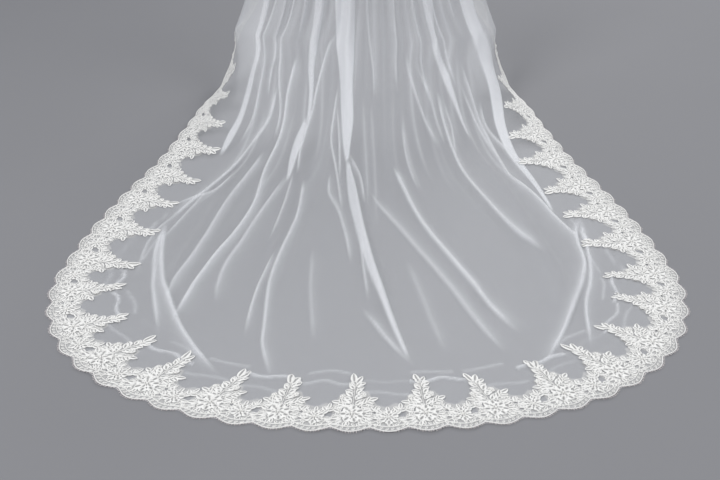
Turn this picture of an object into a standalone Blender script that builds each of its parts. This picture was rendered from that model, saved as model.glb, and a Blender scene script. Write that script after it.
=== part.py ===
"""A one-tier cathedral veil: a long tulle panel with a floral lace edging, gathered onto a hair comb.

The veil hangs from the comb, whose middle is the origin, and spreads on the floor behind the wearer as
a rounded train towards -Y. The flat cut is measured in two lengths: across, from the middle of the cloth,
and down, from the comb. The function panel_points drapes the cut, and the lace lies on the draped panel.
"""

import math

import bmesh
import bpy
import numpy as np

# Driving dimensions of the cut, in metres.
COMB_HEIGHT = 1.60
CUT_HALF_WIDTH = 0.80
HEM_CURVE_LENGTH = 0.605
HEM_CURVE_POWER = 2.3
TRAIN_ON_FLOOR = 1.135
WALL = 0.001

# The lace edging: its repeat, its depth, and where the tulle under it ends.
LACE_REPEAT = 0.168
LACE_DEPTH = 0.200
LACE_WALL = 0.0012
SCALLOP_DEPTH = 0.014
TULLE_INSET = 0.016
SEAM_GAP = 0.0004
SIDE_REPEATS = 9
TRAIN_REPEATS = 25
MOTIF_SHIFT = -0.040

# The middle line: how far it leans from straight down, in degrees, and the radius of its bends.
LEAN_AT_COMB = 50.0
LEAN_OF_FALL = 5.0
LEAN_OF_SWEEP = 56.0
LEAN_ON_FLOOR = 90.0
HAIR_RADIUS = 0.14
SWEEP_RADIUS = 0.26
SETTLE_RADIUS = 0.82
HEADING_LENGTH = 0.016
HEADING_START = 0.0038

# Half width of the draped veil against length down from the comb.
SPREAD = (
    # down, half width
    (0.000, 0.050),
    (0.020, 0.050),
    (0.250, 0.140),
    (0.600, 0.235),
    (1.000, 0.325),
    (1.330, 0.386),
    (1.500, 0.460),
    (1.640, 0.530),
    (1.800, 0.572),
    (2.050, 0.636),
    (2.250, 0.706),
    (2.400, 0.752),
    (2.605, 0.795),
    (3.400, 0.800),
)

# How far each row's ends lie up the veil from its middle, because the train fans out.
FAN = (
    # down, length
    (0.00, 0.00),
    (1.00, 0.02),
    (1.40, 0.06),
    (1.75, 0.11),
    (2.10, 0.12),
    (2.40, 0.08),
    (2.70, 0.01),
    (3.40, 0.00),
)

# Angle that the lace edges turn down and round the wearer's sides, against length down from the comb.
EDGE_TURN = (
    # down, degrees
    (0.00, 0.0),
    (0.03, 0.0),
    (0.18, 95.0),
    (1.10, 104.0),
    (1.30, 97.0),
    (1.42, 84.0),
    (1.54, 64.0),
    (1.66, 45.0),
    (1.82, 27.0),
    (2.00, 12.0),
    (2.16, 3.0),
    (2.26, 0.0),
    (3.40, 0.0),
)
TURN_LENGTH = 0.10
BACK_CURVE = 10.0
BACK_CURVE_END = 2.0
EDGE_CLEARANCE = 0.004
EDGE_LANDING = 0.30

# How much of its width the cloth of the lace edges keeps. The rest is taken up in small gathers.
EDGE_WIDTH = (
    # down, share
    (0.00, 0.06),
    (0.02, 0.06),
    (0.32, 0.53),
    (0.62, 1.00),
    (1.30, 1.00),
    (1.54, 0.86),
    (1.80, 0.82),
    (2.05, 0.88),
    (2.40, 1.00),
    (3.40, 1.00),
)

# The main folds. Each passes through a place across at five lengths down, and dies out at its end.
FOLD_STATIONS = (1.33, 1.80, 2.05, 2.30, 2.60)
FOLDS = (
    # across at each station, height on the fall, height on the train, half width, end
    ((-0.320, -0.340, -0.400, -0.480, -0.500), 0.020, 0.012, 0.026, 2.05),
    ((-0.262, -0.300, -0.360, -0.455, -0.515), 0.044, 0.026, 0.026, 2.86),
    ((-0.205, -0.240, -0.290, -0.346, -0.424), 0.042, 0.022, 0.024, 2.74),
    ((-0.148, -0.182, -0.220, -0.247, -0.255), 0.046, 0.020, 0.024, 2.42),
    ((-0.098, -0.128, -0.165, -0.206, -0.245), 0.040, 0.024, 0.022, 2.82),
    ((-0.052, -0.060, -0.062, -0.058, -0.050), 0.050, 0.022, 0.024, 2.06),
    ((-0.006, -0.012, -0.020, -0.010, 0.030), 0.036, 0.024, 0.022, 2.88),
    ((0.042, 0.042, 0.045, 0.060, 0.080), 0.042, 0.012, 0.022, 1.96),
    ((0.092, 0.092, 0.100, 0.143, 0.262), 0.040, 0.022, 0.024, 2.84),
    ((0.145, 0.152, 0.170, 0.220, 0.300), 0.042, 0.014, 0.024, 2.20),
    ((0.198, 0.226, 0.280, 0.360, 0.430), 0.046, 0.022, 0.024, 2.44),
    ((0.256, 0.290, 0.360, 0.465, 0.520), 0.040, 0.026, 0.026, 2.88),
    ((0.318, 0.340, 0.400, 0.480, 0.490), 0.020, 0.012, 0.026, 2.04),
)
FOLD_FADE = 0.30
FOLD_WIDENING = 0.5
FOLD_LIMIT = 0.49
COMB_FOLD_SHARE = 0.5
LACE_CLEARANCE = 0.20

# Rows and columns of the panel. Each stretch down the veil has its own row spacing.
ROW_STRETCHES = (
    # from, spacing
    (0.000, 0.018),
    (0.054, 0.065),
    (0.250, 0.175),
    (1.300, 0.071),
    (2.080, 0.115),
)
HEM_COLUMNS = 50
CORNER = 0.66
CORNER_ROWS = 4
SECTION_STEPS = 80

# One lace repeat, seen from its right side. Depth is measured inwards from the tips of the scallops.
SCALLOP_EDGE = (
    # share of the repeat, share of the scallop depth
    (0.00, 0.0),
    (0.14, 0.2),
    (0.25, 1.0),
    (0.36, 0.2),
    (0.50, 0.0),
    (0.64, 0.2),
    (0.75, 1.0),
    (0.86, 0.2),
)
LACE_HEAD = (
    # share of the repeat, depth
    (0.00, 0.082),
    (0.12, 0.098),
    (0.24, 0.084),
    (0.33, 0.122),
    (0.42, 0.128),
    (0.47, 0.188),
    (0.53, 0.188),
    (0.58, 0.130),
    (0.72, 0.132),
    (0.84, 0.086),
)
LACE_GAPS = (
    # share of the repeat, depth, half width as a share, half depth
    (0.19, 0.060, 0.055, 0.016),
    (0.38, 0.070, 0.050, 0.016),
    (0.60, 0.092, 0.045, 0.018),
    (0.83, 0.052, 0.055, 0.014),
)

# The gathered top: a tape folded over the cut edge, sewn to a comb.
TAPE_HALF_WIDTH = 0.0535
TAPE_DEPTH = 0.012
TAPE_WALL = 0.0010
COMB_HALF_WIDTH = 0.0550
COMB_WALL = 0.0026
COMB_SPINE = 0.0070
COMB_TEETH = 18
TOOTH_LENGTH = 0.038
TOOTH_SHARE = 0.52
TOOTH_TIP_SHARE = 0.45

COLOURS = {
    # base colour, roughness, metallic
    "tulle": ((0.80, 0.81, 0.83), 0.60, 0.0),
    "lace": ((0.88, 0.87, 0.85), 0.70, 0.0),
    "tape": ((0.86, 0.86, 0.85), 0.45, 0.0),
    "comb": ((0.80, 0.80, 0.82), 0.22, 1.0),
}


def smooth_step(value):
    """Ease from 0 to 1 as the value does."""
    value = np.clip(value, 0.0, 1.0)
    return value * value * (3.0 - 2.0 * value)


def eased(table, value):
    """Read a two-column table at a value, on a smooth curve through its rows."""
    places = np.array([row[0] for row in table])
    heights = np.array([row[1] for row in table])
    slopes = np.gradient(heights, places)
    index = np.clip(np.searchsorted(places, value, side="right") - 1, 0, len(places) - 2)
    step = places[index + 1] - places[index]
    share = np.clip((value - places[index]) / step, 0.0, 1.0)
    rise = heights[index + 1] - heights[index]
    limit = 3.0 * np.abs(rise)
    start = np.clip(slopes[index] * step, -limit, limit)
    end = np.clip(slopes[index + 1] * step, -limit, limit)
    bend = share * (1.0 - share)
    return heights[index] + rise * smooth_step(share) + bend * (start * (1.0 - share) - end * share)


def middle_line_stretches():
    """Length, first lean and last lean, in radians, of each stretch of the veil's middle line."""
    degrees = (LEAN_AT_COMB, LEAN_OF_FALL, LEAN_OF_SWEEP, LEAN_ON_FLOOR)
    comb, fall, sweep, floor = (math.radians(value) for value in degrees)
    heading_drop = HEADING_LENGTH * math.cos(comb)
    hair_drop = HAIR_RADIUS * (math.sin(comb) - math.sin(fall))
    sweep_drop = SWEEP_RADIUS * (math.sin(sweep) - math.sin(fall))
    settle_drop = SETTLE_RADIUS * (math.sin(floor) - math.sin(sweep))
    fall_drop = COMB_HEIGHT - heading_drop - hair_drop - sweep_drop - settle_drop
    return (
        (HEADING_LENGTH, comb, comb),
        (HAIR_RADIUS * (comb - fall), comb, fall),
        (fall_drop / math.cos(fall), fall, fall),
        (SWEEP_RADIUS * (sweep - fall), fall, sweep),
        (SETTLE_RADIUS * (floor - sweep), sweep, floor),
        (TRAIN_ON_FLOOR, floor, floor),
    )


STRETCHES = middle_line_stretches()
CUT_LENGTH = sum(stretch[0] for stretch in STRETCHES)
SIDE_LENGTH = CUT_LENGTH - HEM_CURVE_LENGTH
FLOOR_START = CUT_LENGTH - TRAIN_ON_FLOOR


def middle_line(down):
    """Place towards +Y, height and lean of the veil's middle line at lengths down from the comb."""
    forward = np.full_like(down, -HEADING_START)
    height = np.zeros_like(down)
    lean = np.full_like(down, STRETCHES[0][1])
    start = 0.0
    for length, first, last in STRETCHES:
        done = np.clip(down - start, 0.0, length)
        now = first + (last - first) * done / length
        if first == last:
            forward -= done * math.sin(first)
            height -= done * math.cos(first)
        else:
            radius = length / (last - first)
            forward -= radius * (math.cos(first) - np.cos(now))
            height -= radius * (np.sin(now) - math.sin(first))
        lean = np.where(down >= start, now, lean)
        start += length
    return forward, height, lean


def section(across, down):
    """Drape the smooth cloth across the veil. Returns place across, depth behind the middle line, the
    greatest depth of the whole row, and how closely the row's plain tulle is gathered."""
    half_width = eased(SPREAD, down)
    turn_start = CUT_HALF_WIDTH - LACE_DEPTH - TURN_LENGTH
    curve = math.radians(BACK_CURVE) * np.clip((half_width - SPREAD[0][1]) / 0.3, 0.0, 1.0)
    curve = curve * smooth_step((BACK_CURVE_END - down) / 0.7)
    edge_scale = eased(EDGE_WIDTH, down)
    length = np.linspace(0.0, CUT_HALF_WIDTH, SECTION_STEPS + 1)[None, :]
    span = CUT_HALF_WIDTH / SECTION_STEPS
    angle = curve[:, None] * np.clip(length / turn_start, 0.0, 1.0) ** 2
    turn = np.radians(eased(EDGE_TURN, down))
    angle = angle + turn[:, None] * smooth_step((length - turn_start) / TURN_LENGTH)
    middle = 0.5 * (angle[:, 1:] + angle[:, :-1])
    gathered = np.broadcast_to(length[:, 1:] < turn_start + 0.5 * span, middle.shape)
    inner_run = np.cumsum(np.where(gathered, np.cos(middle) * span, 0.0), axis=1)
    outer_run = np.cumsum(np.where(gathered, 0.0, np.cos(middle) * span), axis=1) * edge_scale[:, None]
    squeeze = (half_width - outer_run.max(axis=1)) / inner_run[:, -1]
    scale = np.where(gathered, squeeze[:, None], edge_scale[:, None])
    start = np.zeros((len(down), 1))
    run = np.concatenate([start, inner_run * squeeze[:, None] + outer_run], axis=1)
    dip = np.concatenate([start, np.cumsum(np.sin(middle) * span * scale, axis=1)], axis=1)
    index = np.clip(np.abs(across) / span, 0.0, SECTION_STEPS - 1e-6)
    low = index.astype(int)
    share = index - low
    row = np.arange(len(down))
    place = run[row, low] * (1.0 - share) + run[row, low + 1] * share
    depth = dip[row, low] * (1.0 - share) + dip[row, low + 1] * share
    return np.sign(across) * place, depth, dip.max(axis=1), squeeze


def in_plain_tulle(across, down):
    """1 in the plain tulle and 0 where the lace lies, eased between the two."""
    side = np.abs(across) / (CUT_HALF_WIDTH - LACE_DEPTH)
    end = np.clip(down - SIDE_LENGTH, 0.0, None) / (HEM_CURVE_LENGTH - LACE_DEPTH)
    ring = (side**HEM_CURVE_POWER + end**HEM_CURVE_POWER) ** (1.0 / HEM_CURVE_POWER)
    return smooth_step((1.0 - ring) / LACE_CLEARANCE)


def fold_height(across, down):
    """How far the folds lift the cloth. They run along the cloth on the fall, and across it below."""
    stations = np.array(FOLD_STATIONS)
    spread = section(np.zeros(len(stations)), stations)[3]
    gather = np.minimum(eased(SPREAD, down) / eased(SPREAD, stations[:1]), 1.0)
    on_train = smooth_step((down - stations[0]) / (FLOOR_START - stations[0]))
    opened = COMB_FOLD_SHARE + (1.0 - COMB_FOLD_SHARE) * smooth_step((down - 0.06) / 0.45)
    opened = opened * smooth_step((down - HEADING_LENGTH) / 0.04)
    height = np.zeros_like(down)
    for route, fall_height, train_height, half_width, end in FOLDS:
        centre = np.clip(np.interp(down, stations, route / spread), -FOLD_LIMIT, FOLD_LIMIT)
        size = (fall_height + (train_height - fall_height) * on_train) * gather
        reach = np.interp(down, stations, half_width / spread) * (1.0 + FOLD_WIDENING * on_train)
        size = size * smooth_step((end - down) / FOLD_FADE)
        height = height + size * np.exp(-(((across - centre) / reach) ** 2))
    return height * opened * in_plain_tulle(across, down)


def panel_points(flat):
    """Drape points of the flat cut. Returns their places on the underside of the tulle."""
    across = flat[:, 0]
    down = flat[:, 1]
    place, depth, deepest, _ = section(across, down)
    fan = eased(FAN, down) * (place / eased(SPREAD, down)) ** 2
    forward, height, lean = middle_line(down - fan)
    clear = EDGE_CLEARANCE * smooth_step((FLOOR_START - down) / EDGE_LANDING)
    room = np.maximum(height + COMB_HEIGHT - clear, 0.0) / np.maximum(np.sin(lean), 0.05)
    depth = depth * np.minimum(1.0, room / np.maximum(deepest, 1e-6))
    lift = fold_height(across, down) - depth
    draped_height = np.maximum(height + np.sin(lean) * lift, -COMB_HEIGHT)
    return np.stack([place, forward - np.cos(lean) * lift, draped_height], axis=1)


def cut_edge(along, inset):
    """Flat points of the cut's edge. Along runs from -2 at the comb on the left, through 0 at the
    middle of the hem, to 2 at the comb on the right, and the sides start at -1 and 1."""
    along = np.asarray(along, dtype=float)
    turn = np.clip(np.abs(along), 0.0, 1.0) * math.pi / 2.0
    power = 2.0 / HEM_CURVE_POWER
    across = np.sign(along) * (CUT_HALF_WIDTH - inset) * np.abs(np.sin(turn)) ** power
    hem = SIDE_LENGTH + (HEM_CURVE_LENGTH - inset) * np.abs(np.cos(turn)) ** power
    down = np.where(np.abs(along) <= 1.0, hem, SIDE_LENGTH * (2.0 - np.abs(along)))
    return np.stack([across, down], axis=-1)


def row_lengths():
    """Lengths down from the comb of the panel's rows, as far as the start of the hem's curve."""
    ends = [row[0] for row in ROW_STRETCHES[1:]] + [SIDE_LENGTH]
    rows = [0.0]
    for (start, spacing), end in zip(ROW_STRETCHES, ends):
        count = round((end - start) / spacing)
        rows.extend(start + (end - start) * (step + 1) / count for step in range(count))
    return rows


def border_stations():
    """Places along the cut's edge of the panel's border points, and the number of rows."""
    side = [2.0 - length / SIDE_LENGTH for length in row_lengths()]
    corner = [1.0 + (CORNER - 1.0) * (step + 1) / CORNER_ROWS for step in range(CORNER_ROWS)]
    half = side + corner
    hem = [CORNER * (2.0 * step / HEM_COLUMNS - 1.0) for step in range(1, HEM_COLUMNS)]
    return np.array([-value for value in half] + hem + half[::-1]), len(half)


def plain_patch(inner, rows):
    """Flat points of the tulle inside the lace, blended between its four borders."""
    left = inner[:rows]
    hem = inner[rows - 1 : rows + HEM_COLUMNS]
    right = inner[::-1][:rows]
    across_share = np.linspace(0.0, 1.0, HEM_COLUMNS + 1)[None, :, None]
    down_share = (left[:, 1] / left[-1, 1])[:, None, None]
    top = left[0] + (right[0] - left[0]) * across_share
    rails = left[:, None] * (1.0 - across_share) + right[:, None] * across_share
    lines = top * (1.0 - down_share) + hem[None, :] * down_share
    top_blend = left[0] * (1.0 - across_share) + right[0] * across_share
    hem_blend = hem[0] * (1.0 - across_share) + hem[-1] * across_share
    return rails + lines - top_blend * (1.0 - down_share) - hem_blend * down_share


def material(finish):
    """The Principled material of a finish, made once."""
    found = bpy.data.materials.get(finish)
    if found:
        return found
    colour, roughness, metallic = COLOURS[finish]
    made = bpy.data.materials.new(finish)
    made.use_nodes = True
    shader = made.node_tree.nodes["Principled BSDF"]
    shader.inputs["Base Color"].default_value = (*colour, 1.0)
    shader.inputs["Roughness"].default_value = roughness
    shader.inputs["Metallic"].default_value = metallic
    return made


def new_object(name, shape, finish):
    """Put a finished bmesh into a named object with its material."""
    bmesh.ops.triangulate(shape, faces=shape.faces[:], quad_method="FIXED")
    bmesh.ops.recalc_face_normals(shape, faces=shape.faces[:])
    mesh = bpy.data.meshes.new(name)
    shape.to_mesh(mesh)
    shape.free()
    mesh.materials.append(material(finish))
    thing = bpy.data.objects.new(name, mesh)
    bpy.context.scene.collection.objects.link(thing)
    return thing


def give_wall(sheet, lower, upper):
    """Turn an open sheet into a closed wall between two sets of places for its points."""
    sheet.verts.index_update()
    originals = sheet.verts[:]
    rim = [edge for edge in sheet.edges if edge.is_boundary]
    geometry = originals + sheet.edges[:] + sheet.faces[:]
    twins = bmesh.ops.duplicate(sheet, geom=geometry)["vert_map"]
    for vertex, below, above in zip(originals, lower, upper):
        vertex.co = below
        twins[vertex].co = above
    for edge in rim:
        first, second = edge.verts
        sheet.faces.new((first, second, twins[second], twins[first]))


def build_tulle():
    """The tulle panel. Returns its border, which the lace and the tape lie on."""
    stations, rows = border_stations()
    inner = cut_edge(stations, LACE_DEPTH)
    outer = cut_edge(stations, TULLE_INSET)
    patch = plain_patch(inner, rows)
    sheet = bmesh.new()
    flat = np.concatenate([patch.reshape(-1, 2), outer])
    points = [sheet.verts.new(place) for place in panel_points(flat)]
    grid = [points[row * (HEM_COLUMNS + 1) : (row + 1) * (HEM_COLUMNS + 1)] for row in range(rows)]
    edge = points[rows * (HEM_COLUMNS + 1) :]
    for upper, lower in zip(grid, grid[1:]):
        for column in range(HEM_COLUMNS):
            sheet.faces.new((upper[column], lower[column], lower[column + 1], upper[column + 1]))
    border = [row[0] for row in grid] + grid[-1][1:-1] + [row[-1] for row in reversed(grid)]
    for step in range(len(stations) - 1):
        sheet.faces.new((edge[step], edge[step + 1], border[step + 1], border[step]))
    sheet.normal_update()
    outward = {vertex: vertex.normal.copy() for vertex in points}
    frame = {
        "stations": stations,
        "inner": np.array([vertex.co for vertex in border]),
        "outer": np.array([vertex.co for vertex in edge]),
        "inner_normal": np.array([outward[vertex] for vertex in border]),
        "outer_normal": np.array([outward[vertex] for vertex in edge]),
    }
    give_wall(
        sheet,
        [vertex.co.copy() for vertex in points],
        [vertex.co + outward[vertex] * WALL for vertex in points],
    )
    new_object("tulle_panel", sheet, "tulle")
    return frame


def edge_lengths():
    """The draped length of the lace's outer edge from the middle of the hem, at fine steps along it."""
    along = np.linspace(0.0, 2.0, 1201)
    places = panel_points(cut_edge(along, 0.0))
    steps = np.linalg.norm(np.diff(places, axis=0), axis=1)
    return along, np.concatenate([[0.0], np.cumsum(steps)])


def lace_repeat(sheet, start):
    """Add one repeat of the lace, laid flat: X along the edging and Y its depth."""
    scallops = [(share, drop * SCALLOP_DEPTH) for share, drop in SCALLOP_EDGE]
    scallops.append((1.0, SCALLOP_EDGE[0][1] * SCALLOP_DEPTH))
    head = list(LACE_HEAD) + [(1.0, LACE_HEAD[0][1])]
    loops = [scallops + head[::-1]]
    for share, depth, half_width, half_depth in LACE_GAPS:
        tips = ((half_width, 0.0), (0.0, half_depth), (-half_width, 0.0), (0.0, -half_depth))
        loops.append([(share + across, depth + along) for across, along in tips])
    edges = []
    for loop in loops:
        corners = [sheet.verts.new((start + share * LACE_REPEAT, depth, 0.0)) for share, depth in loop]
        edges.extend(sheet.edges.new(pair) for pair in zip(corners, corners[1:] + corners[:1]))
    bmesh.ops.triangle_fill(sheet, use_beauty=True, use_dissolve=False, edges=edges)


def split_flat(sheet, faces, place, toward):
    """Cut some faces of a flat sheet along the line through a place, square to a direction."""
    edges = {edge for face in faces for edge in face.edges}
    corners = {vertex for face in faces for vertex in face.verts}
    geometry = list(corners) + list(edges) + list(faces)
    bmesh.ops.bisect_plane(sheet, geom=geometry, dist=1e-6, plane_co=(*place, 0), plane_no=(*toward, 0))


def cut_along_panel(sheet, frame, lengths):
    """Cut flat lace along the panel's rows, edge and diagonals wherever the panel is off the floor, so
    that each face of the lace lies over one facet of the panel, or past its edge."""
    first = min(vertex.co.x for vertex in sheet.verts)
    last = max(vertex.co.x for vertex in sheet.verts)
    top = np.maximum(frame["inner"][:, 2], frame["outer"][:, 2])
    for step in range(len(lengths) - 1):
        near, far = lengths[step], lengths[step + 1]
        lifted = max(top[step], top[step + 1]) > -COMB_HEIGHT + 1e-5
        if far <= first or near >= last or not lifted:
            continue
        split_flat(sheet, sheet.faces[:], (near, 0.0), (1.0, 0.0))
        split_flat(sheet, sheet.faces[:], (far, 0.0), (1.0, 0.0))
        for toward in ((0.0, 1.0), (TULLE_INSET - LACE_DEPTH, far - near)):
            faces = [face for face in sheet.faces if near < face.calc_center_median().x < far]
            split_flat(sheet, faces, (near, TULLE_INSET), toward)
    bmesh.ops.triangulate(sheet, faces=sheet.faces[:])


def on_panel(frame, lengths, place, depth, rise):
    """A point of the lace at a place along the edging and a depth, raised over the panel's facets."""
    step = int(np.clip(np.searchsorted(lengths, place, side="right") - 1, 0, len(lengths) - 2))
    run = (place - lengths[step]) / (lengths[step + 1] - lengths[step])
    out = (LACE_DEPTH - depth) / (LACE_DEPTH - TULLE_INSET)
    inner = frame["inner"] + frame["inner_normal"] * rise
    outer = frame["outer"] + frame["outer_normal"] * rise
    if run + out >= 1.0:
        along = (outer[step + 1] - outer[step]) * run
        return outer[step] + along + (inner[step + 1] - outer[step + 1]) * (1.0 - out)
    return inner[step] + (inner[step + 1] - inner[step]) * run + (outer[step] - inner[step]) * out


def build_lace(name, frame, first, count):
    """A run of lace repeats, from the repeat counted from the middle of the hem."""
    along, draped = edge_lengths()
    stations = frame["stations"]
    lengths = np.sign(stations) * np.interp(np.abs(stations), along, draped)
    sheet = bmesh.new()
    origin = MOTIF_SHIFT - 0.5 * LACE_REPEAT
    for step in range(first, first + count):
        lace_repeat(sheet, origin + step * LACE_REPEAT)
    bmesh.ops.remove_doubles(sheet, verts=sheet.verts[:], dist=1e-5)
    start = origin + first * LACE_REPEAT
    end = start + count * LACE_REPEAT
    for vertex in sheet.verts:
        vertex.co.x = min(max(vertex.co.x, start + 0.5 * SEAM_GAP), end - 0.5 * SEAM_GAP)
    cut_along_panel(sheet, frame, lengths)
    places = [(vertex.co.x, vertex.co.y) for vertex in sheet.verts]
    low = WALL + SEAM_GAP
    lower = [on_panel(frame, lengths, place, depth, low) for place, depth in places]
    upper = [on_panel(frame, lengths, place, depth, low + LACE_WALL) for place, depth in places]
    give_wall(sheet, lower, upper)
    new_object(name, sheet, "lace")


def build_tape():
    """The tape folded over the gathered top edge of the tulle."""
    lean = math.radians(LEAN_AT_COMB)
    down = (-math.sin(lean), -math.cos(lean))
    out = (-math.cos(lean), math.sin(lean))
    gap = SEAM_GAP
    far = gap + TAPE_WALL
    outline = (
        # down the heading, out from the wearer
        (TAPE_DEPTH, -gap),
        (-gap, -gap),
        (-gap, WALL + gap),
        (TAPE_DEPTH, WALL + gap),
        (TAPE_DEPTH, WALL + far),
        (-far, WALL + far),
        (-far, -far),
        (TAPE_DEPTH, -far),
    )
    shape = bmesh.new()
    corners = []
    for length, rise in outline:
        forward = -HEADING_START + down[0] * length + out[0] * rise
        height = down[1] * length + out[1] * rise
        corners.append(shape.verts.new((-TAPE_HALF_WIDTH, forward, height)))
    end = shape.faces.new(corners)
    moved = bmesh.ops.extrude_face_region(shape, geom=[end], use_keep_orig=True)["geom"]
    moved = [item for item in moved if isinstance(item, bmesh.types.BMVert)]
    bmesh.ops.translate(shape, verts=moved, vec=(2.0 * TAPE_HALF_WIDTH, 0.0, 0.0))
    new_object("heading_tape", shape, "tape")


def build_comb():
    """The hair comb: a plate with a straight spine and tapered teeth."""
    pitch = 2.0 * COMB_HALF_WIDTH / (COMB_TEETH - 1 + TOOTH_SHARE)
    root = pitch * TOOTH_SHARE
    inset = 0.5 * root * (1.0 - TOOTH_TIP_SHARE)
    low = -0.5 * COMB_SPINE
    outline = [(COMB_HALF_WIDTH, low), (COMB_HALF_WIDTH, -low), (-COMB_HALF_WIDTH, -low)]
    outline.append((-COMB_HALF_WIDTH, low))
    for tooth in range(COMB_TEETH):
        left = -COMB_HALF_WIDTH + tooth * pitch
        if tooth > 0:
            outline.append((left, low))
        outline.append((left + inset, low - TOOTH_LENGTH))
        outline.append((left + root - inset, low - TOOTH_LENGTH))
        if tooth < COMB_TEETH - 1:
            outline.append((left + root, low))
    shape = bmesh.new()
    corners = [shape.verts.new((across, -0.5 * COMB_WALL, height)) for across, height in outline]
    face = shape.faces.new(corners)
    moved = bmesh.ops.extrude_face_region(shape, geom=[face], use_keep_orig=True)["geom"]
    moved = [item for item in moved if isinstance(item, bmesh.types.BMVert)]
    bmesh.ops.translate(shape, verts=moved, vec=(0.0, COMB_WALL, 0.0))
    new_object("comb", shape, "comb")


def main():
    """Clear the scene and build the veil."""
    for thing in list(bpy.data.objects):
        bpy.data.objects.remove(thing, do_unlink=True)
    frame = build_tulle()
    half_train = TRAIN_REPEATS // 2
    build_lace("lace_train", frame, -half_train, TRAIN_REPEATS)
    build_lace("lace_left", frame, -half_train - SIDE_REPEATS, SIDE_REPEATS)
    build_lace("lace_right", frame, half_train + 1, SIDE_REPEATS)
    build_tape()
    build_comb()


main()
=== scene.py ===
"""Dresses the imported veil: fine tulle with its folds, a corded floral lace edging, a gathered heading and
a hair comb, on a plain floor under soft studio light."""

import math

import bmesh
import bpy
import numpy as np
from mathutils import Matrix, Vector, noise


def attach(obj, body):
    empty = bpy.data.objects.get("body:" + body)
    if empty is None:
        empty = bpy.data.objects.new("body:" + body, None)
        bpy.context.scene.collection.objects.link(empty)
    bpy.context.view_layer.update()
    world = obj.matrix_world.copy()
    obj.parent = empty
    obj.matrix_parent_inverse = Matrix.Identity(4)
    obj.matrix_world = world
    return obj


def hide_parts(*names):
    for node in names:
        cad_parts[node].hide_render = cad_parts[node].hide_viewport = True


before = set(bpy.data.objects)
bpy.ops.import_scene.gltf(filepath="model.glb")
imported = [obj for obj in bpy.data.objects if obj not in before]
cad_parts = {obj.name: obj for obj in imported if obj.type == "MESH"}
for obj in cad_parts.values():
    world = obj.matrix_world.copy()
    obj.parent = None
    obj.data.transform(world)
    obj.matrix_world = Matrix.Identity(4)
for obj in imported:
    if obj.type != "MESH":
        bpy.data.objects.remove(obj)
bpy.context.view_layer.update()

bl_info = {
    "name": "Lace-edged veil",
    "version": (1, 0, 0),
    "blender": (4, 5, 0),
    "location": "3D View > Sidebar > Veil",
    "description": "Builds a draped tulle veil with a corded lace edging on a hair comb",
    "category": "Add Mesh",
}

# The cut and the drape, in metres and degrees, as the solids have them.
COMB_HEIGHT = 1.60
CUT_HALF_WIDTH = 0.80
HEM_CURVE_LENGTH = 0.605
HEM_CURVE_POWER = 2.3
TRAIN_ON_FLOOR = 1.135
WALL = 0.001
LACE_REPEAT = 0.168
LACE_DEPTH = 0.200
SCALLOP_DEPTH = 0.014
SCALLOP_POWER = 1.2
SEAM_GAP = 0.0004
SIDE_REPEATS = 9
TRAIN_REPEATS = 25
MOTIF_SHIFT = -0.040
LEAN_AT_COMB = 50.0
LEAN_OF_FALL = 5.0
LEAN_OF_SWEEP = 56.0
LEAN_ON_FLOOR = 90.0
HAIR_RADIUS = 0.14
SWEEP_RADIUS = 0.26
SETTLE_RADIUS = 0.82
HEADING_LENGTH = 0.016
HEADING_START = 0.0038

# Half width of the draped veil against length down from the comb.
SPREAD = (
    # down, half width
    (0.0, 0.05), (0.02, 0.05), (0.25, 0.14), (0.6, 0.235), (1.0, 0.325), (1.33, 0.386),
    (1.5, 0.46), (1.64, 0.53), (1.8, 0.572), (2.05, 0.636), (2.25, 0.706), (2.4, 0.752),
    (2.605, 0.795), (3.4, 0.8),
)

# How far each row's ends lie up the veil from its middle.
FAN = (
    # down, length
    (0.0, 0.0), (1.0, 0.02), (1.4, 0.06), (1.75, 0.11), (2.1, 0.12), (2.4, 0.08),
    (2.7, 0.01), (3.4, 0.0),
)

# Angle that the lace edges turn round the wearer's sides.
EDGE_TURN = (
    # down, degrees
    (0.0, 0.0), (0.03, 0.0), (0.18, 95.0), (1.1, 104.0), (1.3, 97.0), (1.42, 84.0),
    (1.54, 64.0), (1.66, 45.0), (1.82, 27.0), (2.0, 12.0), (2.16, 3.0), (2.26, 0.0),
    (3.4, 0.0),
)
TURN_LENGTH = 0.1
BACK_CURVE = 10.0
BACK_CURVE_END = 2.0
BACK_CURVE_FADE = 0.7
BACK_CURVE_WIDTH = 0.3
EDGE_CLEARANCE = 0.004
EDGE_LANDING = 0.3

# How much of its width the cloth of the lace edges keeps.
EDGE_WIDTH = (
    # down, share
    (0.0, 0.06), (0.02, 0.06), (0.32, 0.53), (0.62, 1.0), (1.3, 1.0), (1.54, 0.86),
    (1.8, 0.82), (2.05, 0.88), (2.4, 1.0), (3.4, 1.0),
)

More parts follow.
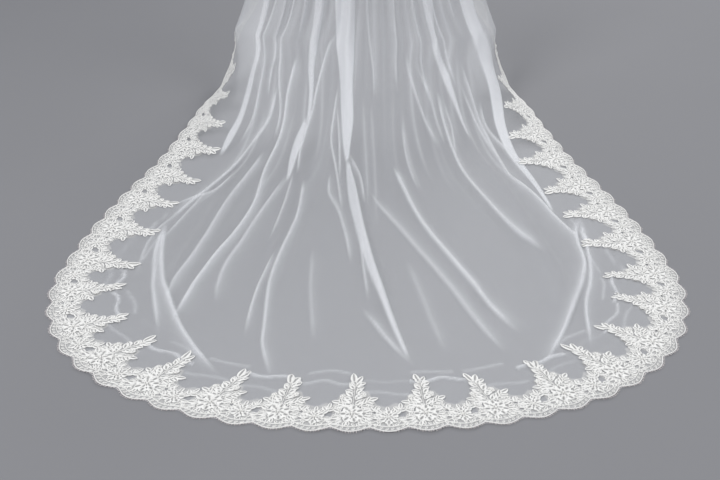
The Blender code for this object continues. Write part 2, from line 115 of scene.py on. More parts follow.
# The main folds. Each passes through a place across at five lengths down, and dies out at its end.
FOLD_STATIONS = (1.33, 1.8, 2.05, 2.3, 2.6)
FOLDS = (
    # across at each station, height on the fall, height on the train, half width, end
    ((-0.32, -0.34, -0.4, -0.48, -0.5), 0.02, 0.012, 0.026, 2.05),
    ((-0.262, -0.3, -0.36, -0.455, -0.515), 0.044, 0.026, 0.026, 2.86),
    ((-0.205, -0.24, -0.29, -0.346, -0.424), 0.042, 0.022, 0.024, 2.74),
    ((-0.148, -0.182, -0.22, -0.247, -0.255), 0.046, 0.02, 0.024, 2.42),
    ((-0.098, -0.128, -0.165, -0.206, -0.245), 0.04, 0.024, 0.022, 2.82),
    ((-0.052, -0.06, -0.062, -0.058, -0.05), 0.05, 0.022, 0.024, 2.06),
    ((-0.006, -0.012, -0.02, -0.01, 0.03), 0.036, 0.024, 0.022, 2.88),
    ((0.042, 0.042, 0.045, 0.06, 0.08), 0.042, 0.012, 0.022, 1.96),
    ((0.092, 0.092, 0.1, 0.143, 0.262), 0.04, 0.022, 0.024, 2.84),
    ((0.145, 0.152, 0.17, 0.22, 0.3), 0.042, 0.014, 0.024, 2.2),
    ((0.198, 0.226, 0.28, 0.36, 0.43), 0.046, 0.022, 0.024, 2.44),
    ((0.256, 0.29, 0.36, 0.465, 0.52), 0.04, 0.026, 0.026, 2.88),
    ((0.318, 0.34, 0.4, 0.48, 0.49), 0.02, 0.012, 0.026, 2.04),
)
FOLD_FADE = 0.3
FOLD_WIDENING = 0.5
FOLD_LIMIT = 0.49
COMB_FOLD_SHARE = 0.5
FOLD_OPENING = 0.06
FOLD_OPENING_LENGTH = 0.45
FOLD_START_LENGTH = 0.04
LACE_CLEARANCE = 0.2

# Pleats that lie folded over on the tulle, on the flat cut, with crisp edges.
PLEATS = (
    # down, left edge and right edge along it, share of the pleat height, cover
    (((0.6, -0.15, -0.056), (1.27, -0.15, -0.056), (1.43, -0.125, -0.05), (1.6, -0.11, -0.058),
      (1.75, -0.105, -0.056), (1.87, -0.095, -0.068), (1.96, -0.08, -0.074)), 1.0, 0.58),
    (((1.92, -0.084, -0.074), (2.09, -0.07, -0.042), (2.35, -0.03, -0.006), (2.6, 0.016, 0.034),
      (2.74, 0.05, 0.064), (2.9, 0.092, 0.098)), 1.2, 0.52),
    (((0.5, -0.246, -0.21), (1.28, -0.246, -0.208), (1.44, -0.236, -0.206), (1.53, -0.25, -0.226),
      (1.63, -0.246, -0.23), (1.8, -0.262, -0.25)), 1.0, 0.5),
    (((1.74, -0.262, -0.25), (1.86, -0.304, -0.266), (1.95, -0.315, -0.29), (2.1, -0.3, -0.294)),
      1.0, 0.48),
    (((0.6, 0.28, 0.325), (1.28, 0.28, 0.325), (1.45, 0.284, 0.305), (1.56, 0.326, 0.36),
      (1.65, 0.366, 0.386), (1.75, 0.404, 0.415), (1.88, 0.446, 0.45)), 1.0, 0.52),
    (((0.5, -0.5, -0.45), (1.3, -0.49, -0.466), (1.47, -0.474, -0.456), (1.56, -0.506, -0.488),
      (1.64, -0.526, -0.505), (1.74, -0.556, -0.534), (1.84, -0.59, -0.562), (1.96, -0.602, -0.594)),
      0.8, 0.5),
    (((0.5, 0.45, 0.505), (1.31, 0.455, 0.508), (1.43, 0.452, 0.505), (1.52, 0.505, 0.568),
      (1.6, 0.536, 0.61), (1.7, 0.555, 0.614), (1.8, 0.566, 0.61), (1.92, 0.582, 0.614),
      (2.05, 0.604, 0.624), (2.28, 0.596, 0.602)), 0.8, 0.56),
)
PLEAT_EDGE = 0.0065
PLEAT_FADE = 0.05
PLEAT_LOW_SIDE = 0.35
FALL_FADE = 0.45
SLANT_STEP = 0.01
SLANT_WIDENING = 2.0

# Fine creases of the tulle, on the flat cut: ridges with one crisp and one soft side.
CREASES = (
    # down and across along it, crisp half width, soft half width and side, height share, cover
    (((0.7, -0.385), (1.3, -0.39), (1.46, -0.386), (1.57, -0.414), (1.7, -0.43)), 0.006, -0.02, 0.8, 0.4),
    (((0.9, -0.352), (1.38, -0.35), (1.56, -0.38), (1.73, -0.375), (1.88, -0.394)),
      0.006, 0.018, 0.8, 0.38),
    (((1.48, -0.296), (1.65, -0.34), (1.84, -0.366), (2.0, -0.398), (2.23, -0.378), (2.5, -0.415),
      (2.76, -0.47)), 0.007, 0.028, 1.2, 0.55),
    (((1.62, -0.386), (1.82, -0.44), (1.95, -0.51), (2.17, -0.578), (2.34, -0.615)),
      0.007, -0.024, 1.1, 0.5),
    (((1.38, -0.124), (1.55, -0.195), (1.71, -0.232), (1.91, -0.275), (2.06, -0.268)),
      0.006, 0.015, 0.9, 0.48),
    (((1.58, -0.115), (1.72, -0.14), (1.83, -0.15), (1.93, -0.13), (2.22, -0.08)),
      0.005, 0.014, 0.7, 0.42),
    (((1.66, -0.128), (1.81, -0.115), (2.04, -0.104)), 0.005, 0.01, 0.6, 0.38),
    (((1.88, -0.078), (2.04, -0.026), (2.22, -0.006)), 0.005, -0.014, 0.7, 0.44),
    (((0.7, 0.0), (1.3, 0.005), (1.41, 0.015), (1.53, 0.034), (1.66, 0.038)), 0.005, 0.024, 0.6, 0.3),
    (((0.6, 0.14), (1.27, 0.135), (1.48, 0.13), (1.64, 0.136)), 0.005, -0.022, 0.6, 0.3),
    (((1.46, 0.168), (1.66, 0.225), (1.75, 0.262), (1.9, 0.32)), 0.006, 0.016, 0.8, 0.4),
    (((1.5, 0.2), (1.6, 0.262), (1.79, 0.315), (1.9, 0.34)), 0.005, 0.014, 0.6, 0.36),
    (((1.63, 0.31), (1.8, 0.345), (1.91, 0.365), (2.17, 0.402), (2.36, 0.45), (2.5, 0.49)),
      0.007, 0.03, 1.0, 0.5),
    (((1.66, 0.334), (1.81, 0.375), (1.95, 0.376)), 0.005, 0.012, 0.6, 0.38),
    (((1.52, 0.415), (1.7, 0.475), (1.92, 0.54), (2.12, 0.56)), 0.006, -0.02, 0.8, 0.44),
    (((1.61, 0.41), (1.75, 0.47), (1.96, 0.548)), 0.005, 0.012, 0.7, 0.42),
    (((1.67, 0.5), (1.81, 0.53), (1.9, 0.575), (2.12, 0.618)), 0.006, -0.02, 0.9, 0.48),
    (((0.8, 0.32), (1.31, 0.32), (1.42, 0.326), (1.54, 0.37), (1.65, 0.402)), 0.005, 0.01, 0.7, 0.42),
    (((1.97, 0.112), (2.11, 0.135), (2.3, 0.17), (2.45, 0.214), (2.63, 0.276), (2.8, 0.365)),
      0.008, 0.03, 1.2, 0.58),
    (((1.74, 0.158), (1.9, 0.166), (2.12, 0.196)), 0.007, 0.022, 0.6, 0.32),
    (((1.92, -0.426), (2.1, -0.46), (2.3, -0.47), (2.48, -0.47), (2.7, -0.496)), 0.008, 0.03, 0.9, 0.38),
    (((2.03, -0.51), (2.15, -0.546), (2.2, -0.595), (2.28, -0.66)), 0.006, 0.014, 0.8, 0.44),
    (((2.12, -0.562), (2.25, -0.575), (2.43, -0.594)), 0.006, 0.014, 0.6, 0.38),
    (((2.05, -0.31), (2.26, -0.35), (2.4, -0.366), (2.52, -0.38), (2.68, -0.372)),
      0.009, 0.03, 0.8, 0.36),
    (((2.07, -0.236), (2.24, -0.221), (2.46, -0.236), (2.66, -0.246), (2.82, -0.246), (2.97, -0.214)),
      0.007, 0.022, 1.0, 0.44),
    (((2.02, -0.288), (2.21, -0.276), (2.4, -0.288)), 0.006, 0.014, 0.6, 0.36),
    (((2.45, -0.252), (2.57, -0.266), (2.66, -0.28), (2.81, -0.29)), 0.006, 0.018, 0.9, 0.46),
    (((1.98, -0.148), (2.12, -0.134), (2.19, -0.102), (2.32, -0.068), (2.5, -0.04)),
      0.006, 0.022, 0.8, 0.4),
    (((2.35, -0.02), (2.52, -0.008), (2.68, 0.006)), 0.005, 0.01, 0.6, 0.4),
    (((2.32, -0.618), (2.45, -0.576), (2.6, -0.516), (2.78, -0.44), (2.88, -0.384), (2.96, -0.33)),
      0.007, -0.022, 1.2, 0.58),
    (((2.32, -0.616), (2.46, -0.586), (2.57, -0.55), (2.8, -0.49)), 0.008, 0.02, 1.0, 0.48),
    (((2.25, -0.594), (2.36, -0.622), (2.58, -0.596)), 0.006, 0.014, 0.6, 0.36),
    (((2.68, -0.018), (2.8, 0.036), (2.93, 0.112)), 0.006, 0.018, 0.8, 0.44),
    (((2.11, 0.008), (2.3, 0.1), (2.44, 0.155), (2.58, 0.205), (2.73, 0.256), (2.88, 0.325)),
      0.007, 0.03, 0.8, 0.38),
    (((2.02, 0.548), (2.18, 0.585), (2.28, 0.592), (2.44, 0.62)), 0.008, -0.03, 1.2, 0.56),
    (((2.29, 0.665), (2.38, 0.616), (2.52, 0.58), (2.61, 0.536), (2.79, 0.46), (2.92, 0.396)),
      0.007, -0.022, 1.2, 0.54),
    (((2.29, 0.664), (2.39, 0.635), (2.54, 0.59), (2.65, 0.546), (2.86, 0.518)), 0.007, 0.018, 1.0, 0.5),
    (((2.46, 0.11), (2.66, 0.142), (2.88, 0.184)), 0.014, 0.03, 0.5, 0.18),
    (((2.4, -0.156), (2.6, -0.142), (2.84, -0.124)), 0.01, 0.024, 0.5, 0.2),
    (((1.585, 0.0), (1.655, 0.105)), 0.01, 0.014, 0.6, 0.36),
    (((1.57, 0.075), (1.645, 0.17)), 0.009, 0.012, 0.6, 0.36),
    (((0.5, -0.44), (1.1, -0.43), (1.45, -0.436), (1.7, -0.48), (1.9, -0.54)), 0.006, 0.02, 0.8, 0.36),
    (((0.6, 0.23), (1.2, 0.226), (1.5, 0.24), (1.7, 0.29)), 0.006, 0.02, 0.7, 0.3),
    (((0.5, -0.3), (1.1, -0.3), (1.45, -0.29)), 0.006, 0.02, 0.7, 0.34),
    (((0.5, 0.4), (1.0, 0.396), (1.4, 0.404)), 0.006, -0.02, 0.7, 0.34),
    (((0.4, 0.06), (0.9, 0.066), (1.3, 0.06)), 0.006, 0.02, 0.6, 0.26),
)
CREASE_FADE = 0.1
CREASE_CRISP = 0.58
CREASE_SOFT = 0.26
CREASE_SOFT_POWER = 0.8
FINE_LINES = 30
FINE_LINE_WIDTH = 0.007
FINE_LINE_COVER = 0.12
# The tucks that run from tall motif to tall motif.
PULL_LINES = (
    # depth in from the edge, turn from one repeat to the next, waves in a repeat, strength, and 1 where
    # it fades out at the repeat's ends
    (0.164, 2.3, 1.4, 1.0, 0.0),
    (0.128, 3.1, 1.0, 0.4, 1.0),
    (0.196, 1.3, 0.8, 0.45, 1.0),
)
PULL_START = 2.2
PULL_START_FADE = 0.3
PULL_HALF_WIDTH = 0.004
PULL_SHIFT = 0.004
PULL_WAVE = 0.0045
PULL_BOW = 0.006
DEEPEST_INSET = 0.4
INSET_HALVINGS = 12
PULL_COVER = 0.46
# How far below the tape the creases and pleats reach their full height.
COMB_EASE = 0.1
# How much more light the tulle stops than one flat layer: gathered towards the comb, where its side
# edges lie double, and seen edge on where a fold is steep.
GATHERED_COVER = (
    # share, end down the cloth, length over which it grows
    (0.3, 1.2, 0.9),
    (1.5, 0.35, 0.3),
)
DOUBLE_COVER = 0.5
DOUBLE_BAND = (
    # inner edge, outer edge and lower end, each with its fade
    (0.44, 0.04),
    (0.6, 0.05),
    (1.75, 0.35),
)
STEEP_COVER = 2.2
# The most light that any place of the tulle stops.
MOST_COVER = 0.95

# Small gathers over a metre of the cloth's width, in radians.
GATHER_WAVES = 46.0

# Layers of noise for the soft wrinkles.
WRINKLES = (
    # scale across, scale down, layer of the noise, share
    (6.0, 2.4, 0.3, 1.0),
    (19.0, 7.0, 4.1, 0.35),
)

# The tulle's mesh: columns of the plain middle and of each edge, and rows.
PLAIN_HALF_WIDTH = 0.63
PLAIN_COLUMNS = 188
EDGE_COLUMNS = 28
TULLE_ROWS = 228
ROW_PLACES = (
    # row's number as a share of all rows, share of the length down the cloth
    (0.0, 0.0), (0.1, 0.1), (0.19, 0.36), (0.44, 0.62), (0.77, 0.9), (1.0, 1.0),
)
TULLE_INSET = 0.01
DRAPE_BATCH = 20000
SLOPE_STEP = 0.0015
SECTION_STEPS = 80
EDGE_STEPS = 1200
# How strongly the threads of the two nets show, and the lace net's pitch against the tulle's.
TULLE_NET_CONTRAST = 0.45
LACE_NET_CONTRAST = 0.35
LACE_NET_PITCH_SHARE = 0.7

# The inner outline of the lace's own net, over one repeat.
LACE_HEAD = (
    # share of the repeat, depth
    (0.0, 0.08), (0.12, 0.094), (0.22, 0.086), (0.31, 0.118), (0.42, 0.128), (0.46, 0.168),
    (0.5, 0.19), (0.56, 0.178), (0.6, 0.134), (0.74, 0.13), (0.86, 0.088),
)
WHOLE_LACE_HEAD = (*LACE_HEAD, (1.0, LACE_HEAD[0][1]))
LACE_GAPS = (
    # share of the repeat, depth, half width as a share, half depth
    (0.19, 0.06, 0.055, 0.016),
    (0.38, 0.07, 0.05, 0.016),
    (0.6, 0.092, 0.045, 0.018),
    (0.83, 0.052, 0.055, 0.014),
)
NET_CUT_ACROSS = 0.012
NET_CUT_DEPTH = 0.024
NET_EDGE_INSET = 0.001

# The motifs of one repeat, in metres along the edging and in from the scallops' tips. Angles are in
# degrees from straight in, and positive towards the end of the repeat.
LEAVES = (
    # along, depth, angle, length, width
    # the tall motif over the flower
    (0.085, 0.084, -80.0, 0.038, 0.0165), (0.092, 0.086, 52.0, 0.028, 0.015),
    (0.084, 0.092, -44.0, 0.031, 0.0155), (0.083, 0.104, -84.0, 0.027, 0.015),
    (0.091, 0.102, 38.0, 0.027, 0.015), (0.085, 0.112, -46.0, 0.027, 0.015),
    (0.092, 0.112, 84.0, 0.021, 0.014), (0.093, 0.122, 40.0, 0.024, 0.0145),
    (0.086, 0.126, -74.0, 0.024, 0.014), (0.087, 0.136, -36.0, 0.023, 0.014),
    (0.093, 0.137, 74.0, 0.022, 0.013), (0.093, 0.144, 34.0, 0.022, 0.0135),
    (0.088, 0.148, -66.0, 0.017, 0.0115),
    # its tip
    (0.087, 0.156, -10.0, 0.036, 0.02), (0.092, 0.155, 34.0, 0.031, 0.016),
    (0.094, 0.151, 72.0, 0.026, 0.013),
    # the arm towards the end of the repeat
    (0.102, 0.08, 18.0, 0.021, 0.011), (0.106, 0.082, 100.0, 0.021, 0.0105),
    (0.112, 0.089, 22.0, 0.02, 0.011), (0.116, 0.092, 104.0, 0.02, 0.0105),
    (0.121, 0.097, 28.0, 0.019, 0.0105), (0.123, 0.099, 110.0, 0.018, 0.01),
    (0.124, 0.101, 70.0, 0.027, 0.013),
    # the short arm
    (0.068, 0.08, -16.0, 0.019, 0.0105), (0.064, 0.082, -100.0, 0.019, 0.0105),
    (0.059, 0.09, -22.0, 0.018, 0.0105), (0.056, 0.093, -78.0, 0.023, 0.012),
    # beside the flower
    (0.061, 0.062, -66.0, 0.022, 0.012), (0.061, 0.048, -104.0, 0.023, 0.012),
    (0.064, 0.038, -130.0, 0.018, 0.0105), (0.11, 0.064, 64.0, 0.022, 0.012),
    (0.11, 0.05, 104.0, 0.023, 0.012), (0.106, 0.039, 130.0, 0.018, 0.0105),
    # the spray between the flower and the next rose
    (0.136, 0.064, -34.0, 0.02, 0.0115), (0.139, 0.064, 22.0, 0.021, 0.0115),
    (0.14, 0.058, 80.0, 0.02, 0.011), (0.137, 0.054, 142.0, 0.018, 0.0105),
    (0.133, 0.056, -96.0, 0.018, 0.0105),
    # round the rose
    (0.018, 0.056, 44.0, 0.019, 0.011), (0.025, 0.066, -34.0, 0.018, 0.0105),
    (0.027, 0.066, 70.0, 0.019, 0.0105), (0.03, 0.072, 6.0, 0.021, 0.011),
    (-0.014, 0.06, -40.0, 0.02, 0.011), (-0.018, 0.046, -88.0, 0.019, 0.0105),
    (0.022, 0.042, 90.0, 0.019, 0.0105), (0.002, 0.064, -6.0, 0.018, 0.0105),
)
FILLER_ALONG = 0.0098
FILLER_DEPTH = 0.0086
FILLER_START = 0.025
FILLER_END = 0.1
FILLER_MARGIN = 0.009
FILLER_LENGTH = 0.0135
FILLER_WIDTH = 0.0082
FILLER_UNEVENNESS = 0.2
STEMS = (
    # points along the stem: along, depth
    ((0.086, 0.078), (0.088, 0.12), (0.09, 0.168)),
    ((0.098, 0.074), (0.11, 0.088), (0.127, 0.103)),
    ((0.072, 0.074), (0.063, 0.087), (0.051, 0.097)),
    ((0.008, 0.056), (0.022, 0.064), (0.031, 0.08)),
    ((0.026, 0.036), (0.042, 0.03), (0.06, 0.038)),
    ((0.112, 0.038), (0.13, 0.03), (0.148, 0.038)),
    ((0.118, 0.06), (0.134, 0.058), (0.152, 0.05)),
)
FLOWERS = (
    # along, depth, petals, first angle, start, length, width
    # the large flower
    (0.086, 0.056, 7, 10.0, 0.01, 0.018, 0.02),
    (0.086, 0.056, 5, 32.0, 0.0036, 0.0125, 0.0145),
    # the rose
    (0.002, 0.046, 6, 4.0, 0.008, 0.0152, 0.0175),
    (0.002, 0.046, 4, 30.0, 0.0026, 0.0105, 0.0125),
    # the buds beside the tall motif
    (0.06, 0.11, 5, 15.0, 0.001, 0.0085, 0.0085),
    (0.112, 0.118, 5, 50.0, 0.001, 0.008, 0.008),
)
FLOWER_REACH = 0.85
KNOT_RADIUS = 0.0032
BEADS = 6
BEAD_RING = 0.0052
BEAD_RADIUS = 0.0014
# How far leaves and petals lie over the net, and the cords in from the scallops.
LEAF_BASE = 0.0005
OUTER_PETAL_BASE = 0.001
INNER_PETAL_BASE = 0.0018
MOTIF_BASE = 0.0003
OUTER_CORD_INSET = 0.0022
INNER_CORD_INSET = 0.0165
# How far the motifs lean and stretch from one repeat to the next, and where along them that starts.
MOTIF_LEAN = 0.1
MOTIF_STRETCH = 0.05
MOTIF_FOOT = 0.03
MOTIF_FOOT_FADE = 0.02
BORDER_LEAVES = 14
BORDER_LEAF_LENGTH = 0.0105
BORDER_LEAF_WIDTH = 0.0052
BORDER_LEAF_INSET = 0.006
BORDER_STEPS = 48
STEM_STEPS = 10
SMALL_LEAF_STEPS = 4
FRINGE_THREADS = 30
FRINGE_WIDTH = 0.0016
FRINGE_LIFT = 0.0003
FRINGE_LEAN = 0.0012
FRINGE_ROOT_INSET = 0.0015
LEAF_STEPS = 6
LEAF_ROUNDNESS = 0.62
LEAF_MIDDLE_LIFT = 0.3
LEAF_FULLNESS = 0.95
PETAL_FULLNESS = 1.35
# Painted shade: how dark the lace's colour is made in its sunken hollows, and partly on its cords' sides,
# against the cords' tops.
PAINTED_HOLLOW_SHADE = 0.58
# Where the raised cord runs between a leaf's middle and its edge.
CORD_PLACE = 0.64

# The gathered top and the comb. The sizes of the tape and the comb are those of the solids.
TAPE_HALF_WIDTH = 0.0535
TAPE_DEPTH = 0.012
TAPE_WALL = 0.001
TAPE_COLUMNS = 108
TAPE_ROWS = 18
TAPE_RIPPLE = 0.00022
TAPE_RIPPLES = 1500.0
STITCHES = 30
STITCH_INSET = 0.002
STITCH_UP = 0.0025
STITCH_RADIUS = 0.0005
BINDING_RADIUS = 0.0004
BINDING_HALF_GAP = 0.0006
COMB_BEVEL = 0.0009
COMB_HALF_WIDTH = 0.055
COMB_WALL = 0.0026
COMB_SPINE = 0.007
COMB_TEETH = 18
TOOTH_LENGTH = 0.038
TOOTH_OVERLAP = 0.0004
TOOTH_SHARE = 0.52

# The camera: its place, its pitch in degrees from straight down, and its lens and sensor in millimetres.
CAMERA_PLACE = (-0.018, -3.689, -0.033)
CAMERA_PITCH = 58.86
CAMERA_LENS = 56.7
CAMERA_SENSOR = 36.0

# The stage.
FLOOR_HALF_WIDTH = 60.0
FLOOR_DROP = 0.0004
FLOOR_SHADES = (0.97, 1.03)
SKY_COLOUR = (0.90, 0.93, 1.0, 1.0)
SKY_STRENGTH = 0.50
LIGHTS = (
    # name, place, what it looks at, width, power
    ("key", (-2.6, -3.2, 2.2), (0.0, -0.7, -1.4), 2.2, 120.0),
    ("fill", (3.0, -2.0, 1.4), (0.0, -0.6, -1.2), 2.5, 45.0),
    ("back", (1.2, 3.0, 1.0), (0.0, -0.4, -1.2), 1.6, 70.0),
)


def length_setting(name, description, default):
    """A setting for a length in metres."""
    return bpy.props.FloatProperty(name=name, description=description, default=default, unit="LENGTH")


def share_setting(name, description, default):
    """A setting for a share from 0 to 1."""
    return bpy.props.FloatProperty(
        name=name, description=description, default=default, min=0.0, max=1.0, subtype="FACTOR"
    )


def colour_setting(name, description, default):
    """A setting for a colour."""
    return bpy.props.FloatVectorProperty(
        name=name, description=description, default=default, subtype="COLOR", size=3
    )


class VeilSizes(bpy.types.PropertyGroup):
    """Sizes of the veil's cloth and lace that a maker would change."""

    fold_share: share_setting("Fold height", "Share of their full height that the main folds have", 1.0)
    crease_height: length_setting("Crease height", "How far a fine crease stands out of the tulle", 0.006)
    wrinkle_height: length_setting(
        "Wrinkle height", "How far the soft wrinkles stand out of the tulle", 0.003
    )
    pleat_height: length_setting("Pleat height", "How far a folded pleat stands out of the tulle", 0.004)
    gather_height: length_setting("Gather height", "Height of the small gathers below the comb", 0.002)
    net_pitch: length_setting("Net pitch", "Distance between the holes of the tulle's net", 0.0016)
    cord_width: length_setting("Cord width", "Width of the cord along the scallops", 0.0026)
    stem_width: length_setting("Stem width", "Width of the cord of the motifs' stems", 0.002)
    motif_lift: length_setting(
        "Motif lift", "How far the corded edges of leaves and petals stand over the net", 0.0016
    )
    fringe_length: length_setting(
        "Fringe length", "Length of the thread loops outside the scallops", 0.0055
    )


class VeilColours(bpy.types.PropertyGroup):
    """Colours of the veil, and how much of the light its nets stop."""

    tulle: colour_setting("Tulle", "Colour of the tulle's thread", (0.86, 0.87, 0.89))
    lace: colour_setting("Lace", "Colour of the lace's cord", (0.90, 0.89, 0.86))
    fringe: colour_setting("Fringe", "Colour of the thread loops outside the scallops", (0.74, 0.68, 0.67))
    tape: colour_setting("Tape", "Colour of the satin tape", (0.86, 0.86, 0.85))
    comb: colour_setting("Comb", "Colour of the comb's metal", (0.80, 0.80, 0.82))
    floor: colour_setting("Floor", "Colour of the floor", (0.23, 0.23, 0.24))
    tulle_cover: share_setting("Tulle cover", "Share of the light that one flat layer of tulle stops", 0.24)
    lace_net_cover: share_setting(
        "Lace net cover", "Share of the light that the lace's own net stops", 0.30
    )


def smooth_step(value):
    """Ease from 0 to 1 as the value does."""
    value = np.clip(value, 0.0, 1.0)
    return value * value * (3.0 - 2.0 * value)


def eased(table, value):
    """Read a two-column table at a value, on a smooth curve through its rows."""
    places = np.array([row[0] for row in table])
    heights = np.array([row[1] for row in table])
    slopes = np.gradient(heights, places)
    index = np.clip(np.searchsorted(places, value, side="right") - 1, 0, len(places) - 2)
    step = places[index + 1] - places[index]
    share = np.clip((value - places[index]) / step, 0.0, 1.0)
    rise = heights[index + 1] - heights[index]
    limit = 3.0 * np.abs(rise)
    start = np.clip(slopes[index] * step, -limit, limit)
    end = np.clip(slopes[index + 1] * step, -limit, limit)
    bend = share * (1.0 - share)
    return heights[index] + rise * smooth_step(share) + bend * (start * (1.0 - share) - end * share)


def middle_line_stretches():
    """Length, first lean and last lean, in radians, of each stretch of the veil's middle line."""
    degrees = (LEAN_AT_COMB, LEAN_OF_FALL, LEAN_OF_SWEEP, LEAN_ON_FLOOR)
    comb, fall, sweep, floor = (math.radians(value) for value in degrees)
    heading_drop = HEADING_LENGTH * math.cos(comb)
    hair_drop = HAIR_RADIUS * (math.sin(comb) - math.sin(fall))
    sweep_drop = SWEEP_RADIUS * (math.sin(sweep) - math.sin(fall))
    settle_drop = SETTLE_RADIUS * (math.sin(floor) - math.sin(sweep))
    fall_drop = COMB_HEIGHT - heading_drop - hair_drop - sweep_drop - settle_drop
    return (
        (HEADING_LENGTH, comb, comb),
        (HAIR_RADIUS * (comb - fall), comb, fall),
        (fall_drop / math.cos(fall), fall, fall),
        (SWEEP_RADIUS * (sweep - fall), fall, sweep),
        (SETTLE_RADIUS * (floor - sweep), sweep, floor),
        (TRAIN_ON_FLOOR, floor, floor),
    )


STRETCHES = middle_line_stretches()
CUT_LENGTH = sum(stretch[0] for stretch in STRETCHES)
SIDE_LENGTH = CUT_LENGTH - HEM_CURVE_LENGTH
FLOOR_START = CUT_LENGTH - TRAIN_ON_FLOOR


def middle_line(down):
    """Place towards +Y, height and lean of the veil's middle line at lengths down from the comb."""
    forward = np.full_like(down, -HEADING_START)
    height = np.zeros_like(down)
    lean = np.full_like(down, STRETCHES[0][1])
    start = 0.0
    for length, first, last in STRETCHES:
        done = np.clip(down - start, 0.0, length)
        now = first + (last - first) * done / length
        if first == last:
            forward -= done * math.sin(first)
            height -= done * math.cos(first)
        else:
            radius = length / (last - first)
            forward -= radius * (math.cos(first) - np.cos(now))
            height -= radius * (np.sin(now) - math.sin(first))
        lean = np.where(down >= start, now, lean)
        start += length
    return forward, height, lean


def section(across, down):
    """Drape the smooth cloth across the veil. Returns place across, depth behind the middle line, the
    greatest depth of the whole row, and how closely the row's plain tulle is gathered."""
    half_width = eased(SPREAD, down)
    turn_start = CUT_HALF_WIDTH - LACE_DEPTH - TURN_LENGTH
    opened = np.clip((half_width - SPREAD[0][1]) / BACK_CURVE_WIDTH, 0.0, 1.0)
    curve = math.radians(BACK_CURVE) * opened
    curve = curve * smooth_step((BACK_CURVE_END - down) / BACK_CURVE_FADE)
    edge_scale = eased(EDGE_WIDTH, down)
    length = np.linspace(0.0, CUT_HALF_WIDTH, SECTION_STEPS + 1)[None, :]
    span = CUT_HALF_WIDTH / SECTION_STEPS
    angle = curve[:, None] * np.clip(length / turn_start, 0.0, 1.0) ** 2
    turn = np.radians(eased(EDGE_TURN, down))
    angle = angle + turn[:, None] * smooth_step((length - turn_start) / TURN_LENGTH)
    middle = 0.5 * (angle[:, 1:] + angle[:, :-1])
    gathered = np.broadcast_to(length[:, 1:] < turn_start + 0.5 * span, middle.shape)
    inner_run = np.cumsum(np.where(gathered, np.cos(middle) * span, 0.0), axis=1)
    outer_run = np.cumsum(np.where(gathered, 0.0, np.cos(middle) * span), axis=1) * edge_scale[:, None]
    squeeze = (half_width - outer_run.max(axis=1)) / inner_run[:, -1]
    scale = np.where(gathered, squeeze[:, None], edge_scale[:, None])
    start = np.zeros((len(down), 1))
    run = np.concatenate([start, inner_run * squeeze[:, None] + outer_run], axis=1)
    dip = np.concatenate([start, np.cumsum(np.sin(middle) * span * scale, axis=1)], axis=1)
    index = np.clip(np.abs(across) / span, 0.0, SECTION_STEPS - 1e-6)
    low = index.astype(int)
    share = index - low
    row = np.arange(len(down))
    place = run[row, low] * (1.0 - share) + run[row, low + 1] * share
    depth = dip[row, low] * (1.0 - share) + dip[row, low + 1] * share
    return np.sign(across) * place, depth, dip.max(axis=1), squeeze


def lace_ring(across, down):
    """1 along the lace's inner edge, and less inside it."""
    side = np.abs(across) / (CUT_HALF_WIDTH - LACE_DEPTH)
    end = np.clip(down - SIDE_LENGTH, 0.0, None) / (HEM_CURVE_LENGTH - LACE_DEPTH)
    return (side**HEM_CURVE_POWER + end**HEM_CURVE_POWER) ** (1.0 / HEM_CURVE_POWER)


def in_plain_tulle(across, down):
    """1 in the plain tulle and 0 where the lace lies, eased between the two."""
    return smooth_step((1.0 - lace_ring(across, down)) / LACE_CLEARANCE)


def fold_height(across, down):
    """How far the main folds lift the cloth."""
    stations = np.array(FOLD_STATIONS)
    spread = section(np.zeros(len(stations)), stations)[3]
    gather = np.minimum(eased(SPREAD, down) / eased(SPREAD, stations[:1]), 1.0)
    on_train = smooth_step((down - stations[0]) / (FLOOR_START - stations[0]))
    opened = smooth_step((down - FOLD_OPENING) / FOLD_OPENING_LENGTH)
    opened = COMB_FOLD_SHARE + (1.0 - COMB_FOLD_SHARE) * opened
    opened = opened * smooth_step((down - HEADING_LENGTH) / FOLD_START_LENGTH)
    height = np.zeros_like(down)
    for route, fall_height, train_height, half_width, end in FOLDS:
        centre = np.clip(np.interp(down, stations, route / spread), -FOLD_LIMIT, FOLD_LIMIT)
        size = (fall_height + (train_height - fall_height) * on_train) * gather
        reach = np.interp(down, stations, half_width / spread) * (1.0 + FOLD_WIDENING * on_train)
        size = size * smooth_step((end - down) / FOLD_FADE)
        height = height + size * np.exp(-(((across - centre) / reach) ** 2))
    return height * opened * in_plain_tulle(across, down)


def between_ends(route, down, fade):
    """1 between the ends of a route, and 0 beyond them. An end high on the fall fades in slowly."""
    first, last = route[0][0], route[-1][0]
    rise = fade if first > 1.0 else FALL_FADE
    return smooth_step((down - first) / rise) * smooth_step((last - down) / fade)


def route_at(route, down):
    """Place across of a route, and how much its slant widens what follows it."""
    slant = (eased(route, down + SLANT_STEP) - eased(route, down - SLANT_STEP)) / (2.0 * SLANT_STEP)
    return eased(route, down), np.sqrt(1.0 + (SLANT_WIDENING * slant) ** 2)


